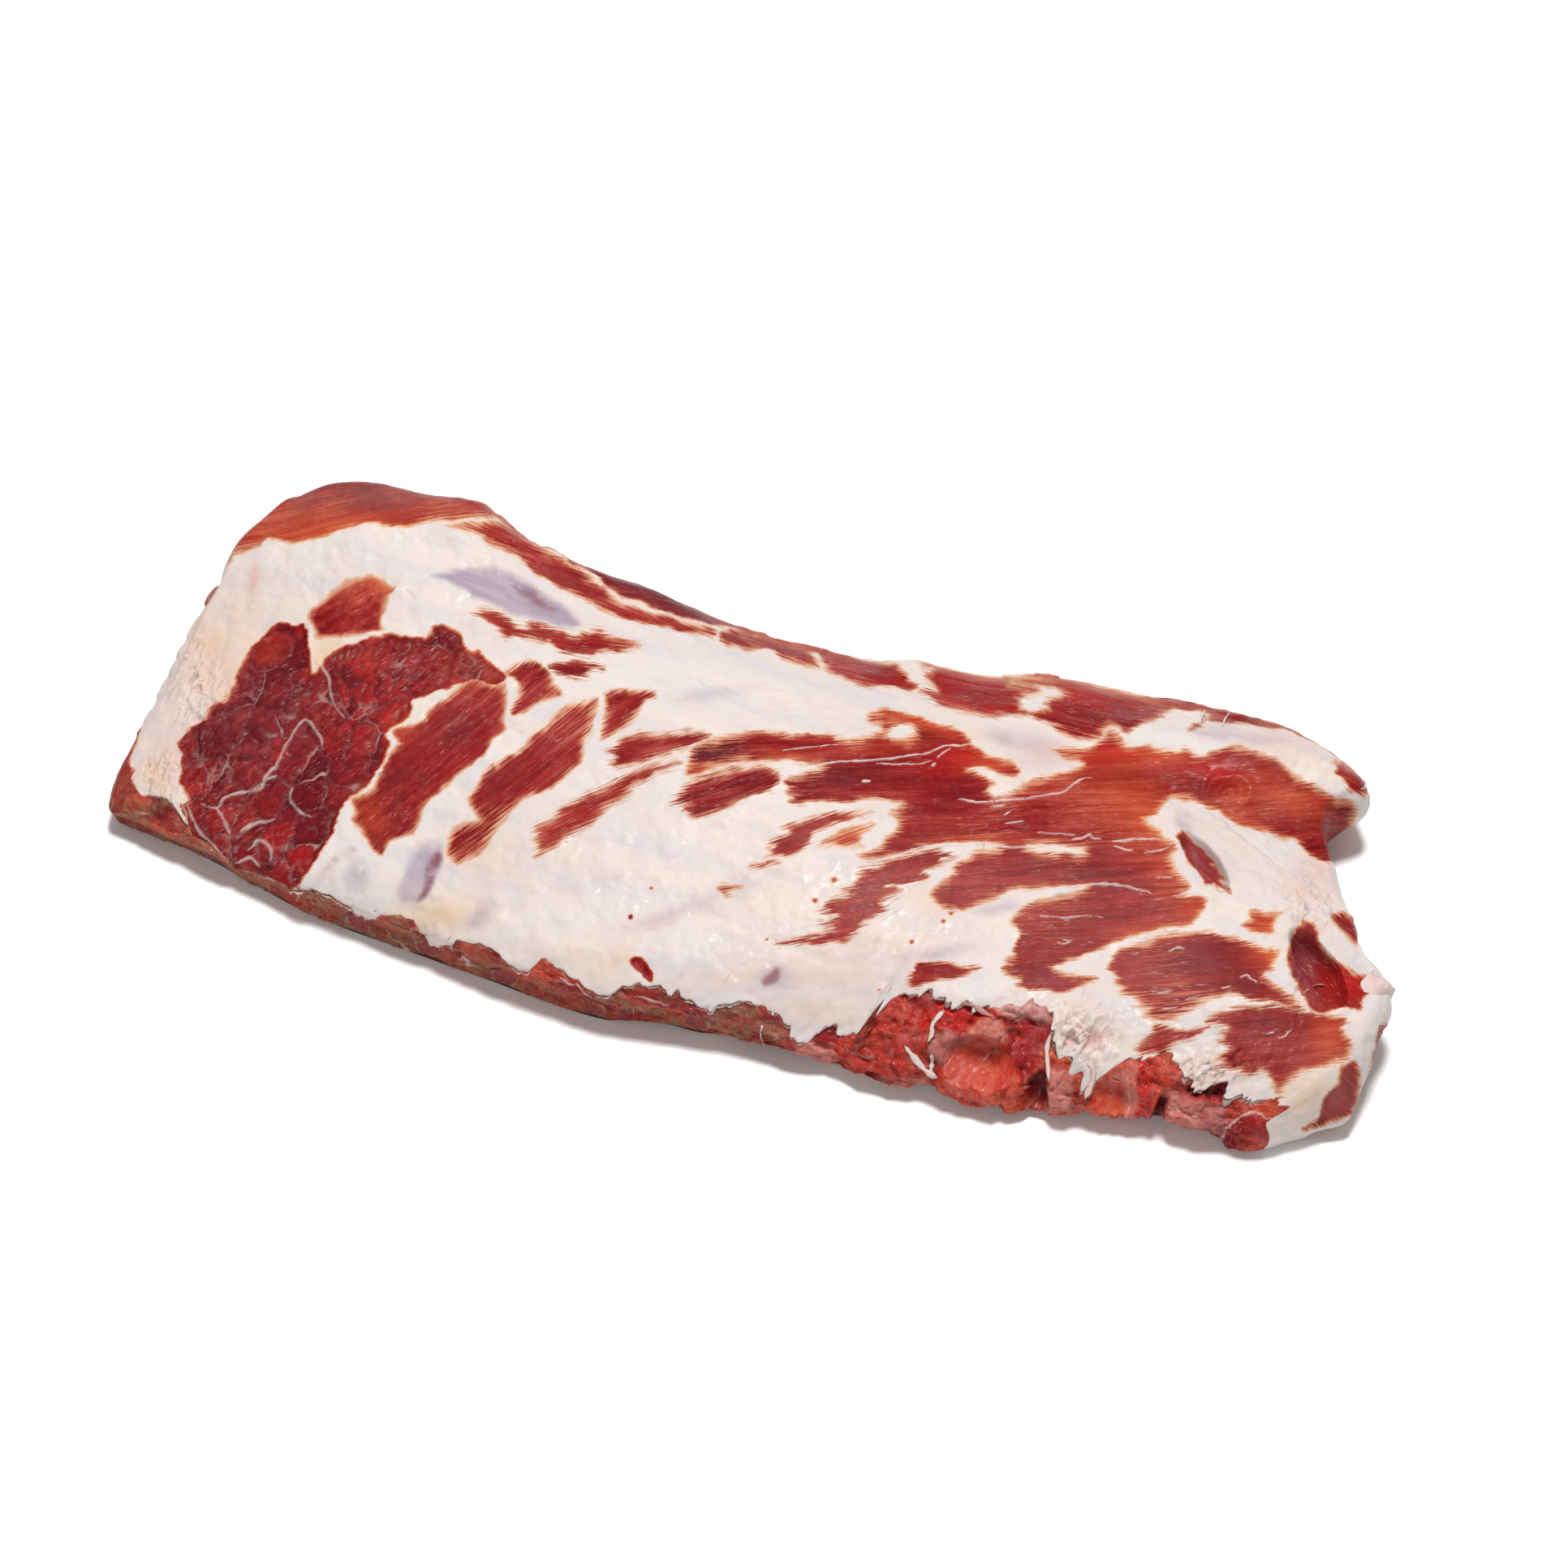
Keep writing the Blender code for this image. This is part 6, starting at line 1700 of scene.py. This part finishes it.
def gristle(group):
    """Cartilage at the right end and the disc of bone at the left end: superellipsoids, rings
    carried from pole to pole with a rounded-box profile, roughened a little."""
    rows, around = 25, 40
    pole = np.linspace(0, math.pi, rows)[:, None]
    angle = (np.arange(around) / around * 2 * math.pi)[None, :]

    def squared(value, power):
        """The value's sign with its size raised to the power."""
        return np.sign(value) * np.abs(value) ** power

    for name, (cx, cy, cz), half, turn, power, look, slot, node in (
            ("pocket_cartilage", (222.0, -20.8, 24.6), (5.0, 8.6, 7.2), -24, 0.5, "fat",
             "cartilage", "cartilage_block"),
            ("shoulder_disc", (-221.0, -8, 33.5), (6.0, 7.0, 7.2), 0, 0.6, "bony", "bone",
             "shoulder_bone_end")):
        ring = np.sin(pole) ** power
        x, y = turned(half[0] * squared(np.cos(pole), power) + 0 * angle,
                      half[1] * ring * squared(np.cos(angle), power), -turn)
        z = half[2] * ring * squared(np.sin(angle), power)
        rings = np.stack([x + cx - CENTRE_X, y + cy - CENTRE_Y, z + cz], axis=-1)
        rings = rings + 0.8 * np.sin(pole)[..., None] * rough_noise(rings, 5, 51)[..., None]
        masks = {**look_masks([look], (1, rows, around), 3), "fibre": rings[None]}
        tube_object(name, rings[None], masks, tissue_material(name, group, 0.3), (node,))


def end_walls(group):
    """Left and right end: box points at s = 0 and s = LONG."""
    material = tissue_material("end_grain", group, 0.5)
    t, h = np.meshgrid(np.linspace(0, WIDE, steps(201)), np.linspace(0, THICK, steps(61)),
                       indexing="ij")
    for name, s, flip in (("left_end", 0.0, True), ("right_end", LONG, False)):
        base = box_point(np.full_like(t, s), t, h)
        outward = -1 if flip else 1
        normal = normals_of(base) * outward
        masks = paint(pressed(base))
        closing = off_ends(h, THICK, 5) * off_ends(t, WIDE, BORDER_FADE)
        skin = pressed(base + normal * (closing * relief(base, masks))[..., None])
        if name == "left_end":
            below_top = THICK - h + 4 * lattice_noise(t / 9, h / 9, 0 * t, 84)
            share = np.maximum(smooth(0, 11, below_top), smooth(BEND, WIDE, t))
            far_streaks(masks, share, t - WIDE, WIDE + THICK - h)
        grid_object(name, skin, normals_of(skin) * outward, masks, material, flip=flip)


def underside(group):
    """Underside with the ridges of the ribs under a thin shining membrane."""
    s, t = np.meshgrid(np.linspace(0, LONG, steps(261)), np.linspace(0, WIDE, steps(111)),
                       indexing="ij")
    skin = box_point(s, t, np.zeros_like(s))
    over_rib = rib_ridge(s / LONG, t / WIDE) / RIDGE_DROP
    streaked = skin * np.array([1.0, 0.35, 1.0])
    pale = rough_noise(streaked, 9, 42)
    inner = smooth(0, 1, np.minimum(np.minimum(t, WIDE - t), np.minimum(s, LONG - s)) / 12)
    masks = {"lean": (0.62 + 0.22 * rough_noise(skin, 22, 41) + 0.3 * (1 - over_rib) * inner
                      - 0.1 * over_rib),
             "rim": 0.8 + 0 * s, "ragged": 0.3 + 0 * s, "wet_and_lit": 0.35 * (1 - over_rib) + 0.3 * pale,
             "film": 0.10 + 0.42 * over_rib + 0.22 * pale,
             "purple": 0.3 + 0.4 * rough_noise(skin, 16, 43),
             "slate": 0.4 * over_rib, "brown": 0.25 * over_rib}
    masks = {k: np.clip(m, 0, 1) for k, m in masks.items()}
    masks["fibre"] = skin[..., [1, 0, 2]]
    skin = skin - normals_of(skin) * (0.35 * inner * rough_noise(streaked, 6, 44))[..., None]
    skin[..., 2] = np.maximum(skin[..., 2], FLOOR_GAP)
    material = tissue_material("membrane", group, 0.4)
    grid_object("rib_membrane", skin, -normals_of(skin), masks, material, flip=True)


# ---- Setting ---------------------------------------------------------------------------
def floor_and_lights():
    """A wide pale floor, a lamp above the slab, a weak one in front, and a dim sky."""
    half, height = 4.0, -0.0002
    mesh = bpy.data.meshes.new("floor")
    corners = ((-half, -half), (half, -half), (half, half), (-half, half))
    mesh.from_pydata([(x, y, height) for x, y in corners], [], [(0, 1, 2, 3)])
    material, n, shader = new_material("pale_floor")
    n.fill(shader, {"Base Color": (0.98, 0.98, 0.98, 1), "Roughness": 0.8,
                    "Specular IOR Level": 0.1})
    mesh.materials.append(material)
    floor = placed("floor", mesh)
    world = bpy.data.worlds.new("studio")
    bpy.context.scene.world = world
    world.use_nodes = True
    Nodes(world.node_tree).fill(world.node_tree.nodes["Background"],
                                {"Color": (1.0, 0.99, 0.98, 1), "Strength": 0.24})
    for name, place, size, power in (("overhead", (0.03, 0.11, 1.65), 0.5, 38.5),
                                     ("front", (0.5, -1.6, 1.2), 1.0, 7.0)):
        light = bpy.data.lights.new(name, "AREA")
        light.shape = "DISK"
        light.size = size
        light.energy = power
        lamp = placed(name, light)
        lamp.location = place
        aim = AIM - np.array(place)
        lamp.rotation_euler = (math.atan2(math.hypot(aim[0], aim[1]), -aim[2]), 0,
                               math.atan2(aim[1], aim[0]) - math.pi / 2)


def camera():
    """The photograph's camera."""
    data = bpy.data.cameras.new("camera")
    data.lens = LENS
    data.sensor_width = SENSOR
    data.sensor_fit = "HORIZONTAL"
    data.dof.use_dof = False
    data.clip_start, data.clip_end = 0.05, 50
    obj = placed("camera", data)
    obj.location = EYE
    obj.rotation_euler = (math.pi / 2 - RISE, 0, TURN)
    bpy.context.scene.camera = obj


camera()
floor_and_lights()
tissue = tissue_group()
stations, lip_line, lip_edge, lip_hanging = top_surfaces(tissue)
sawn_face(tissue, stations, lip_line)
end_walls(tissue)
underside(tissue)
shreds(tissue)
torn_hem(tissue, stations, lip_edge, lip_hanging)
rib_bones()
gristle(tissue)
bpy.context.scene.view_settings.view_transform = "Standard"
